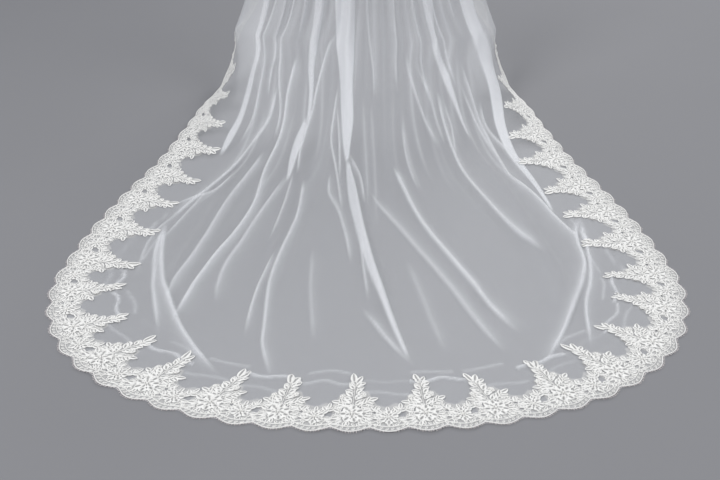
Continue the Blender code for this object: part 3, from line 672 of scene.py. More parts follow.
def pleat_field(across, down):
    """Height and cover that the folded pleats add, as shares."""
    height = np.zeros_like(down)
    cover = np.zeros_like(down)
    for route, size, density in PLEATS:
        near = (down > route[0][0]) & (down < route[-1][0])
        left, left_widening = route_at([(row[0], row[1]) for row in route], down[near])
        right, right_widening = route_at([(row[0], row[2]) for row in route], down[near])
        inside = smooth_step(0.5 + (across[near] - left) / (PLEAT_EDGE * left_widening))
        inside = inside * smooth_step(0.5 + (right - across[near]) / (PLEAT_EDGE * right_widening))
        inside = inside * between_ends(route, down[near], PLEAT_FADE)
        slant = np.clip((across[near] - left) / np.maximum(right - left, 1e-6), 0.0, 1.0)
        height[near] += size * inside * (PLEAT_LOW_SIDE + (1.0 - PLEAT_LOW_SIDE) * slant)
        cover[near] = np.maximum(cover[near], density * inside)
    return height, cover


def crease_field(across, down):
    """Height and cover that the fine creases add, as shares."""
    height = np.zeros_like(down)
    cover = np.zeros_like(down)
    for route, crisp, soft, size, density in CREASES:
        near = (down > route[0][0]) & (down < route[-1][0])
        place, widening = route_at(route, down[near])
        away = (across[near] - place) / widening
        crisp_side = np.exp(-((np.abs(away) / (CREASE_CRISP * crisp)) ** 2))
        soft_side = np.exp(-((np.abs(away) / (CREASE_SOFT * abs(soft))) ** CREASE_SOFT_POWER))
        fade = between_ends(route, down[near], CREASE_FADE)
        ridge = fade * np.where(away * soft > 0.0, soft_side, crisp_side)
        height[near] += size * ridge
        cover[near] += density * ridge * (1.0 - cover[near])
    return height, cover


def fine_lines(across, down):
    """Cover that the faint lines add, which fan out between the creases, as a share."""
    opened = 1.0 + 0.12 * (np.clip(down - 1.3, 0.0, None) / 0.5) ** 2
    cover = np.zeros_like(down)
    for line in range(FINE_LINES):
        wobble = math.sin(line * 7.3)
        first = (line + 0.5 + 0.4 * wobble) / FINE_LINES - 0.5
        start = 1.15 + 0.55 * math.sin(line * 3.9) ** 2
        end = start + 0.45 + 0.35 * math.sin(line * 5.1) ** 2
        bend = 0.008 * np.sin(down * 6.0 + line)
        away = np.abs(across - (first * opened + bend))
        fade = smooth_step((down - start) / 0.15) * smooth_step((end - down) / 0.25)
        density = FINE_LINE_COVER + 0.08 * wobble
        cover = cover + density * fade * np.exp(-((away / FINE_LINE_WIDTH) ** 1.2))
    return cover


def lace_inset(across, down):
    """How far in from the cut's edge a place lies, up to the deepest inset, by halving."""
    low = np.zeros_like(down)
    high = np.full_like(down, DEEPEST_INSET)
    end = np.clip(down - SIDE_LENGTH, 0.0, None)
    for _ in range(INSET_HALVINGS):
        middle = 0.5 * (low + high)
        side_share = (np.abs(across) / (CUT_HALF_WIDTH - middle)) ** HEM_CURVE_POWER
        end_share = (end / (HEM_CURVE_LENGTH - middle)) ** HEM_CURVE_POWER
        inside = side_share + end_share < 1.0
        low = np.where(inside, middle, low)
        high = np.where(inside, high, middle)
    return 0.5 * (low + high)


def edge_place(across, down):
    """Draped length along the lace edge that a place on the cut belongs to, from the hem's middle."""
    side = np.abs(across) / CUT_HALF_WIDTH
    end = np.clip(down - SIDE_LENGTH, 0.0, None) / HEM_CURVE_LENGTH
    half = 0.5 * HEM_CURVE_POWER
    along = np.arctan2(side**half, end**half) * 2.0 / math.pi
    up_side = 2.0 - np.clip(down, 0.0, SIDE_LENGTH) / SIDE_LENGTH
    along = np.where(down < SIDE_LENGTH, up_side, along)
    return np.sign(across) * np.interp(along, *EDGE_LENGTHS)


def pull_field(across, down):
    """The small tucks where the tall motifs pull the tulle. Returns height and cover, as shares."""
    inset = lace_inset(across, down)
    share = (edge_place(across, down) - MOTIF_SHIFT) / LACE_REPEAT
    index = np.floor(share)
    within = share - index
    between = np.sin(math.pi * within) ** 2
    near_hem = smooth_step((down - PULL_START) / PULL_START_FADE)
    height = np.zeros_like(down)
    for depth, turn, waves, strength, ending in PULL_LINES:
        wave = np.sin(2.0 * math.pi * waves * within + index * turn)
        shift = PULL_SHIFT * np.sin(index * turn + depth * 40.0)
        bow = depth + shift + PULL_WAVE * wave + PULL_BOW * between
        ends = 1.0 - ending * (1.0 - smooth_step(between / 0.15))
        present = smooth_step(0.7 + np.sin(index * 3.7 + depth * 60.0))
        line = np.exp(-((np.abs(inset - bow) / PULL_HALF_WIDTH) ** 1.4)) * ends
        height = height + strength * present * line
    height = near_hem * height
    return height, PULL_COVER * height


def gather_height(across, down):
    """The small uneven gathers below the comb, as a share."""
    count = GATHER_WAVES + 3.0 * np.sin(down * 2.0)
    phase = across * count + 1.3 * np.sin(across * 17.0) + 0.7 * np.sin(across * 41.0 + down * 3.0)
    fade = smooth_step((down - 0.004) / 0.03) * (0.35 + 0.65 * smooth_step((0.9 - down) / 0.8))
    fade = fade * smooth_step((1.7 - down) / 0.6)
    return np.sin(phase) * fade


def wrinkle_height(across, down):
    """Soft uneven wrinkles all over the cloth, as a share."""
    share = np.zeros_like(down)
    for over, along, layer, size in WRINKLES:
        places = zip(across * over, down * along)
        share = share + size * np.array([noise.noise(Vector((*place, layer))) for place in places])
    return share


def lifted_drape(across, down, lift):
    """Places of the flat cut on the smooth drape, lifted out of it."""
    place, depth, deepest, _ = section(across, down)
    fan = eased(FAN, down) * (place / eased(SPREAD, down)) ** 2
    forward, height, lean = middle_line(down - fan)
    clear = EDGE_CLEARANCE * smooth_step((FLOOR_START - down) / EDGE_LANDING)
    room = np.maximum(height + COMB_HEIGHT - clear, 0.0) / np.maximum(np.sin(lean), 0.05)
    rise = lift - depth * np.minimum(1.0, room / np.maximum(deepest, 1e-6))
    draped_height = np.maximum(height + np.sin(lean) * rise, -COMB_HEIGHT)
    return np.stack([place, forward - np.cos(lean) * rise, draped_height], axis=1)


def drape_batch(across, down, sizes):
    """Drape places of the flat cut with all of their folds."""
    small = sizes.crease_height * (crease_field(across, down)[0] + pull_field(across, down)[0])
    small = small + sizes.pleat_height * pleat_field(across, down)[0]
    small = small + sizes.wrinkle_height * wrinkle_height(across, down)
    small = small * smooth_step((down - HEADING_LENGTH) / COMB_EASE)
    small = small + sizes.gather_height * gather_height(across, down)
    return lifted_drape(across, down, fold_height(across, down) * sizes.fold_share + small)


def drape(across, down, sizes):
    """Drape many places of the flat cut, a batch at a time."""
    parts = []
    for first in range(0, len(across), DRAPE_BATCH):
        batch = slice(first, first + DRAPE_BATCH)
        parts.append(drape_batch(across[batch], down[batch], sizes))
    return np.concatenate(parts)


def outward_of(draped, across, down, *settings):
    """Which way is outwards at places of the cut, on the surface of a function that drapes them."""
    over = draped(across + SLOPE_STEP, down, *settings) - draped(across - SLOPE_STEP, down, *settings)
    along = draped(across, down + SLOPE_STEP, *settings) - draped(across, down - SLOPE_STEP, *settings)
    outward = np.cross(along, over)
    return outward / np.maximum(np.linalg.norm(outward, axis=1, keepdims=True), 1e-12)


def raised_drape(across, down, rise, sizes):
    """Draped places, raised from the cloth, and which way is outwards at each."""
    outward = outward_of(drape, across, down, sizes)
    return drape(across, down, sizes) + outward * rise, outward


def cut_edge(along, inset):
    """Flat places of the cut's edge, moved in by an inset. Along runs from -2 at the comb on the left,
    through 0 at the middle of the hem, to 2 at the comb on the right."""
    turn = np.clip(np.abs(along), 0.0, 1.0) * math.pi / 2.0
    power = 2.0 / HEM_CURVE_POWER
    across = np.sign(along) * (CUT_HALF_WIDTH - inset) * np.abs(np.sin(turn)) ** power
    hem = SIDE_LENGTH + (HEM_CURVE_LENGTH - inset) * np.abs(np.cos(turn)) ** power
    down = np.where(np.abs(along) <= 1.0, hem, SIDE_LENGTH * (2.0 - np.abs(along)))
    return across, down


def edge_lengths():
    """The draped length of the lace's outer edge from the middle of the hem, at fine steps along it."""
    along = np.linspace(0.0, 2.0, EDGE_STEPS + 1)
    places = lifted_drape(*cut_edge(along, 0.0), 0.0)
    steps = np.linalg.norm(np.diff(places, axis=0), axis=1)
    return along, np.concatenate([[0.0], np.cumsum(steps)])


EDGE_LENGTHS = edge_lengths()


def edges_of(vertices):
    """The edges that meet at some vertices of a bmesh."""
    return list({edge for vertex in vertices for edge in vertex.link_edges})


def as_mesh(name, shape):
    """Turn a bmesh into a named mesh."""
    mesh = bpy.data.meshes.new(name)
    shape.to_mesh(mesh)
    shape.free()
    return mesh


def finish_mesh(name, shape, material):
    """Put a bmesh into a named object, shaded smooth, with its material."""
    mesh = as_mesh(name, shape)
    mesh.polygons.foreach_set("use_smooth", [True] * len(mesh.polygons))
    mesh.materials.append(material)
    thing = bpy.data.objects.new(name, mesh)
    bpy.context.scene.collection.objects.link(thing)
    return thing


def write_uv(mesh, first, second):
    """Give a mesh the UV map cut, from two values at each of its points."""
    corners = np.empty(len(mesh.loops), dtype=np.int32)
    mesh.loops.foreach_get("vertex_index", corners)
    layer = mesh.uv_layers.new(name="cut")
    layer.data.foreach_set("uv", np.stack([first[corners], second[corners]], axis=1).ravel())


def write_value(mesh, name, values):
    """Give a mesh an attribute with a value at each of its points."""
    layer = mesh.attributes.new(name, "FLOAT", "POINT")
    layer.data.foreach_set("value", values.astype(np.float32))


def place_piece(thing, body, replaced):
    """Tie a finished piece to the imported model."""
    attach(thing, body)
    if replaced:
        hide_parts(replaced)


def new_material(name):
    """An empty node material. Returns it, its nodes, its links and its Principled shader."""
    made = bpy.data.materials.new(name)
    made.use_nodes = True
    nodes = made.node_tree.nodes
    return made, nodes, made.node_tree.links, nodes["Principled BSDF"]


def set_inputs(node, values):
    """Give inputs of a node their values, by name."""
    for name, value in values.items():
        node.inputs[name].default_value = value


def math_node(tree, operation, first, second, clamp=False):
    """A Math node in a tree, fed with two sockets or numbers. Returns its output."""
    node = tree.nodes.new("ShaderNodeMath")
    node.operation = operation
    node.use_clamp = clamp
    for socket, value in zip(node.inputs, (first, second)):
        if isinstance(value, (int, float)):
            socket.default_value = value
        else:
            tree.links.new(value, socket)
    return node.outputs["Value"]


def attribute_value(nodes, name):
    """The value that a piece's attribute gives a material."""
    node = nodes.new("ShaderNodeAttribute")
    node.attribute_name = name
    return node.outputs["Fac"]


def colour_mix(nodes, links, factor, colours):
    """A Mix node for colours, by the names of its inputs."""
    mix = nodes.new("ShaderNodeMix")
    mix.data_type = "RGBA"
    set_inputs(mix, {name: (*colour, 1.0) for name, colour in colours.items()})
    links.new(factor, mix.inputs["Factor"])
    return mix


def add_bump(nodes, links, shader, height, strength, distance):
    """Raise a shader's surface by the height of a texture."""
    bump = nodes.new("ShaderNodeBump")
    set_inputs(bump, {"Strength": strength, "Distance": distance})
    links.new(height, bump.inputs["Height"])
    links.new(bump.outputs["Normal"], shader.inputs["Normal"])


def net_group():
    """The node group of a fine net of uneven cells: a mask that is about 1 on average."""
    found = bpy.data.node_groups.get("fine_net")
    if found:
        return found
    group = bpy.data.node_groups.new("fine_net", "ShaderNodeTree")
    group.interface.new_socket("Vector", in_out="INPUT", socket_type="NodeSocketVector")
    for name, way in (("Pitch", "INPUT"), ("Contrast", "INPUT"), ("Mask", "OUTPUT")):
        group.interface.new_socket(name, in_out=way, socket_type="NodeSocketFloat")
    start = group.nodes.new("NodeGroupInput")
    end = group.nodes.new("NodeGroupOutput")
    cells = group.nodes.new("ShaderNodeTexVoronoi")
    cells.feature = "DISTANCE_TO_EDGE"
    set_inputs(cells, {"Randomness": 0.35})
    group.links.new(start.outputs["Vector"], cells.inputs["Vector"])
    scale = math_node(group, "DIVIDE", 1.0, start.outputs["Pitch"])
    group.links.new(scale, cells.inputs["Scale"])
    thread = group.nodes.new("ShaderNodeMapRange")
    thread.interpolation_type = "SMOOTHSTEP"
    set_inputs(thread, {"From Min": 0.10, "From Max": 0.24, "To Min": 1.3, "To Max": -1.0})
    group.links.new(cells.outputs["Distance"], thread.inputs["Value"])
    swing = math_node(group, "MULTIPLY", thread.outputs["Result"], start.outputs["Contrast"])
    mask = math_node(group, "ADD", swing, 1.0)
    group.links.new(mask, end.inputs["Mask"])
    return group


def cut_places(nodes):
    """The places that the UV map cut gives a material."""
    node = nodes.new("ShaderNodeUVMap")
    node.uv_map = "cut"
    return node.outputs["UV"]


def object_places(nodes):
    """The places that the object's own coordinates give a material."""
    return nodes.new("ShaderNodeTexCoord").outputs["Object"]


def add_texture(nodes, links, kind, places, values):
    """A texture node of a kind, read at places, with the values of its inputs."""
    texture = nodes.new(kind)
    set_inputs(texture, values)
    links.new(places, texture.inputs["Vector"])
    return texture


def net_material(name, colour, pitch, contrast):
    """A see-through net, whose cover is read from the piece's attribute."""
    made, nodes, links, shader = new_material(name)
    set_inputs(shader, {"Base Color": (*colour, 1.0), "Roughness": 0.62, "Specular IOR Level": 0.25})
    set_inputs(shader, {"Sheen Weight": 0.35, "Sheen Roughness": 0.5})
    net = nodes.new("ShaderNodeGroup")
    net.node_tree = net_group()
    set_inputs(net, {"Pitch": pitch, "Contrast": contrast})
    links.new(cut_places(nodes), net.inputs["Vector"])
    cover = attribute_value(nodes, "cover")
    alpha = math_node(made.node_tree, "MULTIPLY", cover, net.outputs["Mask"], clamp=True)
    links.new(alpha, shader.inputs["Alpha"])
    return made


def lace_material(name, colour, fringe):
    """Matt corded lace: thread texture, see-through hollows with painted shade in them and on the cords'
    sides, and a greyer fringe.
    """
    made, nodes, links, shader = new_material(name)
    set_inputs(shader, {"Roughness": 0.78, "Specular IOR Level": 0.2, "Sheen Weight": 0.25})
    cord = attribute_value(nodes, "cord")
    # Painted shade: the colour darkens where the cord value falls, in the sunken hollows and on the cords'
    # sides.
    painted_shade = [PAINTED_HOLLOW_SHADE * value for value in colour]
    tint = colour_mix(nodes, links, cord, {"A": painted_shade, "B": colour})
    edge = colour_mix(nodes, links, attribute_value(nodes, "fringe"), {"B": fringe})
    links.new(tint.outputs["Result"], edge.inputs["A"])
    links.new(edge.outputs["Result"], shader.inputs["Base Color"])
    hollow = nodes.new("ShaderNodeMapRange")
    set_inputs(hollow, {"From Min": 0.15, "From Max": 0.55, "To Min": 0.38})
    links.new(cord, hollow.inputs["Value"])
    links.new(hollow.outputs["Result"], shader.inputs["Alpha"])
    values = {"Scale": 1400.0, "Detail": 2.0}
    grain = add_texture(nodes, links, "ShaderNodeTexNoise", cut_places(nodes), values)
    add_bump(nodes, links, shader, grain.outputs["Fac"], 0.35, 0.0004)
    return made


def column_places():
    """Places across of the tulle's columns, closer together towards the edges."""
    half = CUT_HALF_WIDTH - TULLE_INSET
    first = math.asin((PLAIN_HALF_WIDTH / half) ** (0.5 * HEM_CURVE_POWER))
    turn = np.linspace(first, math.pi / 2.0, EDGE_COLUMNS + 1)
    edge = half * np.sin(turn) ** (2.0 / HEM_CURVE_POWER)
    plain = np.linspace(0.0, PLAIN_HALF_WIDTH, PLAIN_COLUMNS + 1)
    right = np.concatenate([plain[:-1], edge])
    return np.concatenate([-right[:0:-1], right])


def tulle_cover(across, down, slope, colours):
    """How much light the tulle stops at each place: more in gathers, pleats, creases and steep folds."""
    (inner, inner_fade), (outer, outer_fade), (lowest, lowest_fade) = DOUBLE_BAND
    double = smooth_step((np.abs(across) - inner) / inner_fade)
    double = double * smooth_step((outer - np.abs(across)) / outer_fade)
    layers = 1.0 + DOUBLE_COVER * double * smooth_step((lowest - down) / lowest_fade)
    for share, end, length in GATHERED_COVER:
        layers = layers + share * smooth_step((end - down) / length)
    cover = colours.tulle_cover * layers / np.clip(slope, 1.0 / STEEP_COVER, 1.0)
    fields = (pleat_field, crease_field, pull_field)
    for added in [field(across, down)[1] for field in fields] + [fine_lines(across, down)]:
        cover = cover + added * (1.0 - cover)
    return np.clip(cover, 0.0, MOST_COVER)


class VEIL_OT_tulle(bpy.types.Operator):
    """Drape the tulle panel with its folds"""

    bl_idname = "veil.tulle"
    bl_label = "Tulle"

    def execute(self, context):
        sizes = context.scene.veil_sizes
        colours = context.scene.veil_colours
        places = column_places()
        columns = len(places) - 1
        shape = bmesh.new()
        bmesh.ops.create_grid(shape, x_segments=columns, y_segments=TULLE_ROWS, size=1.0)
        grid = np.array([vertex.co[:2] for vertex in shape.verts])
        across = np.interp(grid[:, 0], np.linspace(-1.0, 1.0, columns + 1), places)
        half = CUT_HALF_WIDTH - TULLE_INSET
        side = np.clip(np.abs(across) / half, 0.0, 1.0) ** HEM_CURVE_POWER
        hem = (HEM_CURVE_LENGTH - TULLE_INSET) * (1.0 - side) ** (1.0 / HEM_CURVE_POWER)
        row_share = np.interp(0.5 - 0.5 * grid[:, 1], *zip(*ROW_PLACES))
        down = row_share * (SIDE_LENGTH + hem)
        points, outward = raised_drape(across, down, 0.5 * WALL, sizes)
        for vertex, place in zip(shape.verts, points):
            vertex.co = place
        material = net_material("tulle", colours.tulle, sizes.net_pitch, TULLE_NET_CONTRAST)
        thing = finish_mesh("draped_tulle", shape, material)
        write_uv(thing.data, across, down)
        slope = np.abs(np.sum(outward * outward_of(lifted_drape, across, down, 0.0), axis=1))
        write_value(thing.data, "cover", tulle_cover(across, down, slope, colours))
        place_piece(thing, "root", "tulle_panel")
        return {"FINISHED"}


def scallop(share):
    """Depth of the scalloped edge at a share of the repeat."""
    return SCALLOP_DEPTH * (1.0 - np.abs(np.cos(2.0 * math.pi * share)) ** SCALLOP_POWER)


def spot_round(along, depth, radius, angle):
    """A place round a centre, and its angle in degrees from straight in."""
    turn = math.radians(angle)
    return along + radius * math.sin(turn), depth + radius * math.cos(turn), angle


def scale_and_move(shape, vertices, scale, place):
    """Scale vertices of a bmesh about the origin, and move them."""
    bmesh.ops.scale(shape, verts=vertices, vec=scale)
    bmesh.ops.translate(shape, verts=vertices, vec=place)


def add_leaf(shape, spot, length, width, fullness, lift, base=0.0, steps=LEAF_STEPS):
    """A leaf or petal with a raised corded outline round a sunken net. The spot is its base's place
    along and in, and its angle. Fullness above 1 moves its widest place towards the tip."""
    cord = shape.verts.layers.float["cord"]
    made = bmesh.ops.create_grid(shape, x_segments=steps, y_segments=4, size=0.5)["verts"]
    for vertex in made:
        run = min(max(vertex.co.x + 0.5, 0.0), 1.0)
        side = 2.0 * vertex.co.y
        outline = math.sin(math.pi * run**fullness) ** LEAF_ROUNDNESS
        middle = abs(side) < 0.1
        near_end = run < 0.05 or run > 0.95
        if abs(side) < 0.9:
            side = side * CORD_PLACE / 0.5
        height = 0.0 if abs(side) > 0.9 or near_end else lift * (LEAF_MIDDLE_LIFT if middle else 1.0)
        # The sunken middle gets 0: the lace material paints shade there and lets more light through.
        vertex[cord] = 0.0 if middle and not near_end else 1.0
        vertex.co = (run * length, 0.5 * side * width * outline, base + height)
    turn = Matrix.Rotation(math.radians(90.0 - spot[2]), 3, "Z")
    bmesh.ops.rotate(shape, verts=made, matrix=turn)
    bmesh.ops.translate(shape, verts=made, vec=(*spot[:2], 0.0))


def add_cord(shape, route, width, lift, steps, fringe=0.0):
    """A cord along a route of flat points."""
    cord = shape.verts.layers.float["cord"]
    loops = shape.verts.layers.float["fringe"]
    route = np.array(route)
    rows = 2 if fringe == 0.0 else 1
    places = np.linspace(0.0, 1.0, len(route))
    made = bmesh.ops.create_grid(shape, x_segments=steps, y_segments=rows, size=0.5)["verts"]
    for vertex in made:
        run = vertex.co.x + 0.5
        side = 2.0 * vertex.co.y
        spot, ahead, behind = (
            np.array([np.interp(share, places, route[:, axis]) for axis in range(2)])
            for share in (run, run + 0.02, run - 0.02)
        )
        toward = (ahead - behind) / max(np.linalg.norm(ahead - behind), 1e-9)
        spot = spot + 0.5 * side * width * np.array([-toward[1], toward[0]])
        # The value falls towards the cord's sides, where the lace material paints shade on the rounded
        # cord.
        vertex[cord] = 1.0 - 0.3 * abs(side)
        vertex[loops] = fringe
        vertex.co = (spot[0], spot[1], lift * (1.0 - abs(side)) if rows == 2 else lift)


def add_knot(shape, along, depth, radius, height):
    """A small padded knot."""
    cord = shape.verts.layers.float["cord"]
    made = bmesh.ops.create_icosphere(shape, subdivisions=1, radius=radius)["verts"]
    scale_and_move(shape, made, (1.0, 1.0, height / radius), (along, depth, 0.5 * height))
    for vertex in made:
        vertex[cord] = 1.0


def lace_head(share):
    """Depth of the lace's inner outline at a share of the repeat."""
    return float(np.interp(share % 1.0, *zip(*WHOLE_LACE_HEAD)))


def in_a_flower(along, depth):
    """Whether a place lies under one of the repeat's flowers."""
    return any(
        math.hypot(along - centre - shift, depth - middle) < start + FLOWER_REACH * length
        for centre, middle, _, _, start, length, _ in FLOWERS
        for shift in (-LACE_REPEAT, 0.0, LACE_REPEAT)
    )


def in_a_gap(share, depth):
    """Whether a place lies in one of the cut gaps."""
    return any(
        abs(share - centre) / half_width + abs(depth - middle) / half_depth < 0.9
        for centre, middle, half_width, half_depth in LACE_GAPS
    )


def add_filler(shape, lift):
    """Small leaves in uneven rows that fill the low band between the motifs."""
    columns = round(LACE_REPEAT / FILLER_ALONG)
    rows = int((FILLER_END - FILLER_START) / FILLER_DEPTH)
    for row in range(rows):
        for column in range(columns):
            wobble = math.sin(row * 12.9 + column * 78.2)
            swing = math.sin(row * 39.3 + column * 11.1)
            along = (column + 0.5 * (row % 2) + 0.2 * wobble) * LACE_REPEAT / columns
            depth = FILLER_START + row * FILLER_DEPTH + 0.0016 * swing
            share = along / LACE_REPEAT
            free = not in_a_flower(along, depth) and not in_a_gap(share, depth)
            if not free or swing > 0.8 or depth > lace_head(share) - FILLER_MARGIN:
                continue
            spot = spot_round(along, depth, -0.5 * FILLER_LENGTH, 180.0 * wobble + 90.0 * swing)
            size = 1.0 + FILLER_UNEVENNESS * swing
            length, width = size * FILLER_LENGTH, size * FILLER_WIDTH
            add_leaf(shape, spot, length, width, LEAF_FULLNESS, lift, steps=SMALL_LEAF_STEPS)


def motif_repeat(sizes):
    """One repeat of the lace's cords, leaves, flowers and fringe, laid flat, as a mesh."""
    shape = bmesh.new()
    shape.verts.layers.float.new("cord")
    shape.verts.layers.float.new("fringe")
    lift = sizes.motif_lift
    add_filler(shape, lift)
    for along, depth, angle, length, width in LEAVES:
        add_leaf(shape, (along, depth, angle), length, width, LEAF_FULLNESS, lift, base=LEAF_BASE)
    for along, depth, petals, first, start, length, width in FLOWERS:
        base = OUTER_PETAL_BASE if start > 0.005 else INNER_PETAL_BASE
        for petal in range(petals):
            spot = spot_round(along, depth, start, first + 360.0 * petal / petals)
            add_leaf(shape, spot, length, width, PETAL_FULLNESS, lift, base=base)
    for along, depth in {(row[0], row[1]) for row in FLOWERS}:
        add_knot(shape, along, depth, KNOT_RADIUS, 2.6 * lift)
        for bead in range(BEADS):
            place = spot_round(along, depth, BEAD_RING, 360.0 * bead / BEADS)[:2]
            add_knot(shape, *place, BEAD_RADIUS, 2.2 * lift)
    for route in STEMS:
        add_cord(shape, route, sizes.stem_width, 1.2 * lift, STEM_STEPS)
    shares = np.linspace(0.0, 1.0, BORDER_STEPS + 1)
    outer = np.stack([shares * LACE_REPEAT, scallop(shares) + OUTER_CORD_INSET], axis=1)
    inner = np.stack([shares * LACE_REPEAT, 0.75 * scallop(shares) + INNER_CORD_INSET], axis=1)
    add_cord(shape, outer, sizes.cord_width, 1.5 * lift, BORDER_STEPS)
    add_cord(shape, inner, 0.8 * sizes.cord_width, 1.3 * lift, BORDER_STEPS)
    for leaf in range(BORDER_LEAVES):
        share = (leaf + 0.5) / BORDER_LEAVES
        depth = 0.9 * scallop(share) + BORDER_LEAF_INSET
        spot = (share * LACE_REPEAT - 0.003, depth, 48.0 + 10.0 * math.sin(leaf * 2.1))
        add_leaf(shape, spot, BORDER_LEAF_LENGTH, BORDER_LEAF_WIDTH, 1.0, lift, steps=SMALL_LEAF_STEPS)
    for thread in range(FRINGE_THREADS):
        share = (thread + 0.5) / FRINGE_THREADS
        root = (share * LACE_REPEAT, scallop(share) + FRINGE_ROOT_INSET)
        reach = sizes.fringe_length * (0.85 + 0.15 * math.sin(thread * 2.7))
        lean = FRINGE_LEAN * math.sin(thread * 1.9)
        tip = (root[0] + lean, root[1] - reach)
        add_cord(shape, (root, tip), FRINGE_WIDTH, FRINGE_LIFT, 1, fringe=1.0)
    bmesh.ops.remove_doubles(shape, verts=shape.verts[:], dist=1e-6)
    return as_mesh("lace_repeat", shape)


def net_repeat():
    """One repeat of the lace's own net with its cut gaps, laid flat, as a mesh."""
    shape = bmesh.new()
    edge = [(share, float(scallop(share)) + NET_EDGE_INSET) for share in np.linspace(0.0, 1.0, 17)]
    loops = [edge + list(WHOLE_LACE_HEAD[::-1])]
    for share, depth, half_width, half_depth in LACE_GAPS:
        turns = [math.radians(45.0 * step) for step in range(8)]
        loops.append(
            [(share + half_width * math.sin(turn), depth + half_depth * math.cos(turn)) for turn in turns]
        )
    edges = []
    for loop in loops:
        corners = [shape.verts.new((share * LACE_REPEAT, depth, 0.0)) for share, depth in loop]
        edges.extend(shape.edges.new(pair) for pair in zip(corners, corners[1:] + corners[:1]))
    bmesh.ops.triangle_fill(shape, use_beauty=True, use_dissolve=False, edges=edges)
    for side, gap, reach in (
        ((1.0, 0.0, 0.0), NET_CUT_ACROSS, LACE_REPEAT),
        ((0.0, 1.0, 0.0), NET_CUT_DEPTH, LACE_DEPTH),
    ):
        for step in range(1, round(reach / gap)):
            geometry = shape.verts[:] + shape.edges[:] + shape.faces[:]
            spot = [step * gap * share for share in side]
            bmesh.ops.bisect_plane(shape, geom=geometry, dist=1e-6, plane_co=spot, plane_no=side)
    return as_mesh("lace_net_repeat", shape)


def lay_lace(name, repeat, first, count, base, sizes, material):
    """Lay a run of repeats along the draped edge, each a little uneven, and raise them over the tulle."""
    shape = bmesh.new()
    start = MOTIF_SHIFT - 0.5 * LACE_REPEAT
    for step in range(first, first + count):
        before = len(shape.verts)
        shape.from_mesh(repeat)
        shape.verts.ensure_lookup_table()
        lean = MOTIF_LEAN * math.sin(step * 2.4)
        stretch = MOTIF_STRETCH * math.sin(step * 1.7 + 1.0)
        for vertex in shape.verts[before:]:
            share = min(max(vertex.co.x / LACE_REPEAT, 0.0), 1.0)
            over = vertex.co.y - MOTIF_FOOT
            inside = math.sin(math.pi * share) * min(max(over / MOTIF_FOOT_FADE, 0.0), 1.0)
            vertex.co.x += start + step * LACE_REPEAT + inside * lean * over
            vertex.co.y += inside * stretch * over
    bmesh.ops.remove_doubles(shape, verts=shape.verts[:], dist=1e-6)
    thing = finish_mesh(name, shape, material)
    mesh = thing.data
    flat = np.empty(len(mesh.vertices) * 3)
    mesh.vertices.foreach_get("co", flat)
    flat = flat.reshape(-1, 3)
    length_to_along = EDGE_LENGTHS[1], EDGE_LENGTHS[0]
    along = np.sign(flat[:, 0]) * np.interp(np.abs(flat[:, 0]), *length_to_along)
    across, down = cut_edge(along, flat[:, 1])
    rise = WALL + SEAM_GAP + base + flat[:, 2:]
    points, _ = raised_drape(across, down, rise, sizes)
    mesh.vertices.foreach_set("co", points.ravel())
    write_uv(mesh, flat[:, 0], flat[:, 1])
    mesh.update()
    return thing


class VEIL_OT_lace(bpy.types.Operator):
    """Lay the lace edging along the veil: its net first, then its cords, leaves and flowers"""

    bl_idname = "veil.lace"
    bl_label = "Lace edging"

    def execute(self, context):
        sizes = context.scene.veil_sizes
        colours = context.scene.veil_colours
        pitch = LACE_NET_PITCH_SHARE * sizes.net_pitch
        net = net_material("lace_net", colours.lace, pitch, LACE_NET_CONTRAST)
        corded = lace_material("lace", colours.lace, colours.fringe)
        net_mesh = net_repeat()
        motifs = motif_repeat(sizes)
        half = TRAIN_REPEATS // 2
        third = TRAIN_REPEATS // 3
        runs = (
            # piece, node, first repeat, repeats
            ("train_lace_left", "lace_train", -half, third),
            ("train_lace_middle", "lace_train", -half + third, TRAIN_REPEATS - 2 * third),
            ("train_lace_right", "lace_train", half + 1 - third, third),
            ("side_lace_left", "lace_left", -half - SIDE_REPEATS, SIDE_REPEATS),
            ("side_lace_right", "lace_right", half + 1, SIDE_REPEATS),
        )
        for name, node, first, count in runs:
            ground = lay_lace(name + "_net", net_mesh, first, count, 0.0, sizes, net)
            cover = np.full(len(ground.data.vertices), colours.lace_net_cover)
            write_value(ground.data, "cover", cover)
            place_piece(ground, "root", node)
            pattern = lay_lace(name, motifs, first, count, MOTIF_BASE, sizes, corded)
            place_piece(pattern, "root", node)
        bpy.data.meshes.remove(net_mesh)
        bpy.data.meshes.remove(motifs)
        return {"FINISHED"}


def heading_place(length, rise):
    """Place towards +Y and height of a place down the heading and out from the wearer."""
    lean = math.radians(LEAN_AT_COMB)
    forward = -HEADING_START - math.sin(lean) * length - math.cos(lean) * rise
    return forward, math.sin(lean) * rise - math.cos(lean) * length


def satin_material(name, colour):
    """Satin: fine warp lines and a soft gloss."""
    made, nodes, links, shader = new_material(name)
    set_inputs(shader, {"Base Color": (*colour, 1.0), "Roughness": 0.38, "Sheen Weight": 0.4})
    values = {"Scale": 900.0, "Distortion": 0.6}
    threads = add_texture(nodes, links, "ShaderNodeTexWave", object_places(nodes), values)
    threads.bands_direction = "X"
    add_bump(nodes, links, shader, threads.outputs["Fac"], 0.25, 0.0002)
    return made


def metal_material(name, colour):
    """Polished plated metal with faint brushing."""
    made, nodes, links, shader = new_material(name)
    set_inputs(shader, {"Base Color": (*colour, 1.0), "Metallic": 1.0})
    values = {"Scale": 420.0, "Detail": 4.0}
    brush = add_texture(nodes, links, "ShaderNodeTexNoise", object_places(nodes), values)
    rough = nodes.new("ShaderNodeMapRange")
    set_inputs(rough, {"To Min": 0.16, "To Max": 0.32})
    links.new(brush.outputs["Fac"], rough.inputs["Value"])
    links.new(rough.outputs["Result"], shader.inputs["Roughness"])
    return made


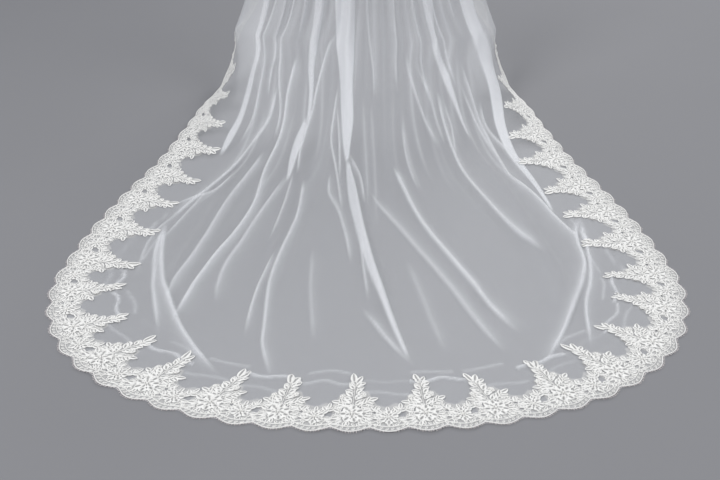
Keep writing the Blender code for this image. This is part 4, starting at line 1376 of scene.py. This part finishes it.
def build_tape(colours):
    """The satin tape folded over the gathered edge, with its row of stitches."""
    shape = bmesh.new()
    made = bmesh.ops.create_grid(shape, x_segments=TAPE_COLUMNS, y_segments=TAPE_ROWS, size=0.5)["verts"]
    near = -SEAM_GAP - 0.5 * TAPE_WALL
    far = WALL + SEAM_GAP + 0.5 * TAPE_WALL
    middle = 0.5 * (near + far)
    radius = 0.5 * (far - near)
    bend = math.pi * radius
    total = 2.0 * TAPE_DEPTH + bend
    for vertex in made:
        across = 2.0 * vertex.co.x * TAPE_HALF_WIDTH
        run = (vertex.co.y + 0.5) * total
        ripple = TAPE_RIPPLE * math.sin(across * TAPE_RIPPLES + 3.0 * math.sin(across * 190.0))
        if run < TAPE_DEPTH:
            length, rise = TAPE_DEPTH - run, near - abs(ripple)
        elif run > TAPE_DEPTH + bend:
            length, rise = run - TAPE_DEPTH - bend, far + ripple
        else:
            turn = (run - TAPE_DEPTH) / radius
            length = -radius * math.sin(turn)
            rise = middle - radius * math.cos(turn)
        vertex.co = (across, *heading_place(length, rise))
    bmesh.ops.recalc_face_normals(shape, faces=shape.faces[:])
    tape = finish_mesh("folded_tape", shape, satin_material("satin_tape", colours.tape))
    wall = tape.modifiers.new("wall", "SOLIDIFY")
    wall.thickness = 0.8 * TAPE_WALL
    wall.offset = 0.0
    place_piece(tape, "root", "heading_tape")
    stitches = bmesh.new()
    for stitch in range(STITCHES):
        across = (2.0 * (stitch + 0.5) / STITCHES - 1.0) * (TAPE_HALF_WIDTH - STITCH_INSET)
        place = heading_place(TAPE_DEPTH - STITCH_UP, far + 0.6 * TAPE_WALL)
        ball = bmesh.ops.create_icosphere(stitches, subdivisions=2, radius=STITCH_RADIUS)["verts"]
        scale_and_move(stitches, ball, (2.4, 1.0, 1.0), (across, *place))
    row = finish_mesh("tape_stitches", stitches, satin_material("stitch_thread", colours.tape))
    place_piece(row, "root", None)


def build_comb(colours):
    """The metal comb with round teeth, and the thread that binds the veil to its spine."""
    pitch = 2.0 * COMB_HALF_WIDTH / (COMB_TEETH - 1 + TOOTH_SHARE)
    root = pitch * TOOTH_SHARE
    shape = bmesh.new()
    spine = bmesh.ops.create_cube(shape, size=1.0)["verts"]
    bmesh.ops.scale(shape, verts=spine, vec=(2.0 * COMB_HALF_WIDTH, COMB_WALL, COMB_SPINE))
    edges = edges_of(spine)
    bmesh.ops.bevel(shape, geom=edges, offset=COMB_BEVEL, segments=3, profile=0.5, affect="EDGES")
    for tooth in range(COMB_TEETH):
        across = -COMB_HALF_WIDTH + tooth * pitch + 0.5 * root
        made = bmesh.ops.create_cone(
            shape,
            cap_ends=True,
            segments=12,
            radius1=0.30 * root,
            radius2=0.5 * root,
            depth=TOOTH_LENGTH,
        )["verts"]
        flatten = (1.0, COMB_WALL / root, 1.0)
        middle = -0.5 * COMB_SPINE - 0.5 * TOOTH_LENGTH + TOOTH_OVERLAP
        scale_and_move(shape, made, flatten, (across, 0.0, middle))
        tip = bmesh.ops.create_icosphere(shape, subdivisions=2, radius=0.30 * root)["verts"]
        scale_and_move(shape, tip, flatten, (across, 0.0, -0.5 * COMB_SPINE - TOOTH_LENGTH))
    comb = finish_mesh("metal_comb", shape, metal_material("plated_metal", colours.comb))
    place_piece(comb, "root", "comb")
    thread = bmesh.new()
    for wrap in range(COMB_TEETH - 1):
        for offset in (-BINDING_HALF_GAP, BINDING_HALF_GAP):
            across = -COMB_HALF_WIDTH + (wrap + 1.0) * pitch - 0.5 * (pitch - root) + offset
            ring = bmesh.ops.create_circle(thread, segments=6, radius=BINDING_RADIUS)["verts"]
            place = (across, 0.5 * COMB_SPINE + BINDING_RADIUS, 0.0)
            bmesh.ops.translate(thread, verts=ring, vec=place)
            bmesh.ops.spin(
                thread,
                geom=ring + edges_of(ring),
                cent=(across, 0.0, 0.0),
                axis=(1.0, 0.0, 0.0),
                angle=2.0 * math.pi,
                steps=16,
                use_merge=True,
            )
    bmesh.ops.scale(thread, verts=thread.verts[:], vec=(1.0, 0.5, 1.0))
    bmesh.ops.recalc_face_normals(thread, faces=thread.faces[:])
    binding = finish_mesh("binding_thread", thread, satin_material("binding", colours.tape))
    place_piece(binding, "root", None)


class VEIL_OT_heading(bpy.types.Operator):
    """Make the folded tape and the comb that hold the gathered top"""

    bl_idname = "veil.heading"
    bl_label = "Tape and comb"

    def execute(self, context):
        colours = context.scene.veil_colours
        build_tape(colours)
        build_comb(colours)
        return {"FINISHED"}


def floor_material(name, colour):
    """Plain matt floor with a very faint cloudiness."""
    made, nodes, links, shader = new_material(name)
    set_inputs(shader, {"Roughness": 0.85})
    cloud = add_texture(nodes, links, "ShaderNodeTexNoise", object_places(nodes), {"Scale": 1.2})
    darker, lighter = ([share * value for value in colour] for share in FLOOR_SHADES)
    tint = colour_mix(nodes, links, cloud.outputs["Fac"], {"A": darker, "B": lighter})
    links.new(tint.outputs["Result"], shader.inputs["Base Color"])
    return made


def add_sky(scene):
    """Light from all round."""
    world = bpy.data.worlds.new("studio")
    scene.world = world
    world.use_nodes = True
    sky = world.node_tree.nodes["Background"]
    set_inputs(sky, {"Color": SKY_COLOUR, "Strength": SKY_STRENGTH})


def add_camera(scene):
    """The camera that frames the train as the photo does."""
    lens = bpy.data.cameras.new("camera")
    lens.lens = CAMERA_LENS
    lens.sensor_width = CAMERA_SENSOR
    camera = bpy.data.objects.new("camera", lens)
    camera.location = CAMERA_PLACE
    camera.rotation_euler = (math.radians(CAMERA_PITCH), 0.0, 0.0)
    scene.collection.objects.link(camera)
    scene.camera = camera


def add_light(name, place, target, size, power):
    """A soft square light that looks at a target."""
    lamp = bpy.data.lights.new(name, "AREA")
    lamp.shape = "SQUARE"
    lamp.size = size
    lamp.energy = power
    thing = bpy.data.objects.new(name, lamp)
    thing.location = place
    toward = Vector(target) - Vector(place)
    thing.rotation_euler = toward.to_track_quat("-Z", "Y").to_euler()
    bpy.context.scene.collection.objects.link(thing)


class VEIL_OT_stage(bpy.types.Operator):
    """Lay the floor, set the lights and place the camera"""

    bl_idname = "veil.stage"
    bl_label = "Floor, lights and camera"

    def execute(self, context):
        colours = context.scene.veil_colours
        shape = bmesh.new()
        bmesh.ops.create_grid(shape, x_segments=8, y_segments=8, size=FLOOR_HALF_WIDTH)
        bmesh.ops.translate(shape, verts=shape.verts[:], vec=(0.0, 0.0, -COMB_HEIGHT - FLOOR_DROP))
        floor = finish_mesh("floor", shape, floor_material("floor", colours.floor))
        context.scene.view_settings.view_transform = "Standard"
        add_sky(context.scene)
        for light in LIGHTS:
            add_light(*light)
        add_camera(context.scene)
        return {"FINISHED"}


class VEIL_PT_panel(bpy.types.Panel):
    """The veil's sizes, colours and steps"""

    bl_idname = "VEIL_PT_panel"
    bl_label = "Veil"
    bl_space_type = "VIEW_3D"
    bl_region_type = "UI"
    bl_category = "Veil"

    def draw(self, context):
        layout = self.layout
        for group in (context.scene.veil_sizes, context.scene.veil_colours):
            column = layout.column(align=True)
            for name in type(group).__annotations__:
                column.prop(group, name)
        column = layout.column(align=True)
        for step in STEPS:
            column.operator(step.bl_idname)


STEPS = (VEIL_OT_tulle, VEIL_OT_lace, VEIL_OT_heading, VEIL_OT_stage)
CLASSES = (VeilSizes, VeilColours, *STEPS, VEIL_PT_panel)


def register():
    """Register the classes and the scene's two groups of settings."""
    for item in CLASSES:
        bpy.utils.register_class(item)
    bpy.types.Scene.veil_sizes = bpy.props.PointerProperty(type=VeilSizes)
    bpy.types.Scene.veil_colours = bpy.props.PointerProperty(type=VeilColours)


def unregister():
    """Undo what register does."""
    del bpy.types.Scene.veil_colours
    del bpy.types.Scene.veil_sizes
    for item in reversed(CLASSES):
        bpy.utils.unregister_class(item)


def main():
    """Build the veil and its stage."""
    register()
    bpy.ops.veil.tulle()
    bpy.ops.veil.lace()
    bpy.ops.veil.heading()
    bpy.ops.veil.stage()


if __name__ == "__main__":
    main()
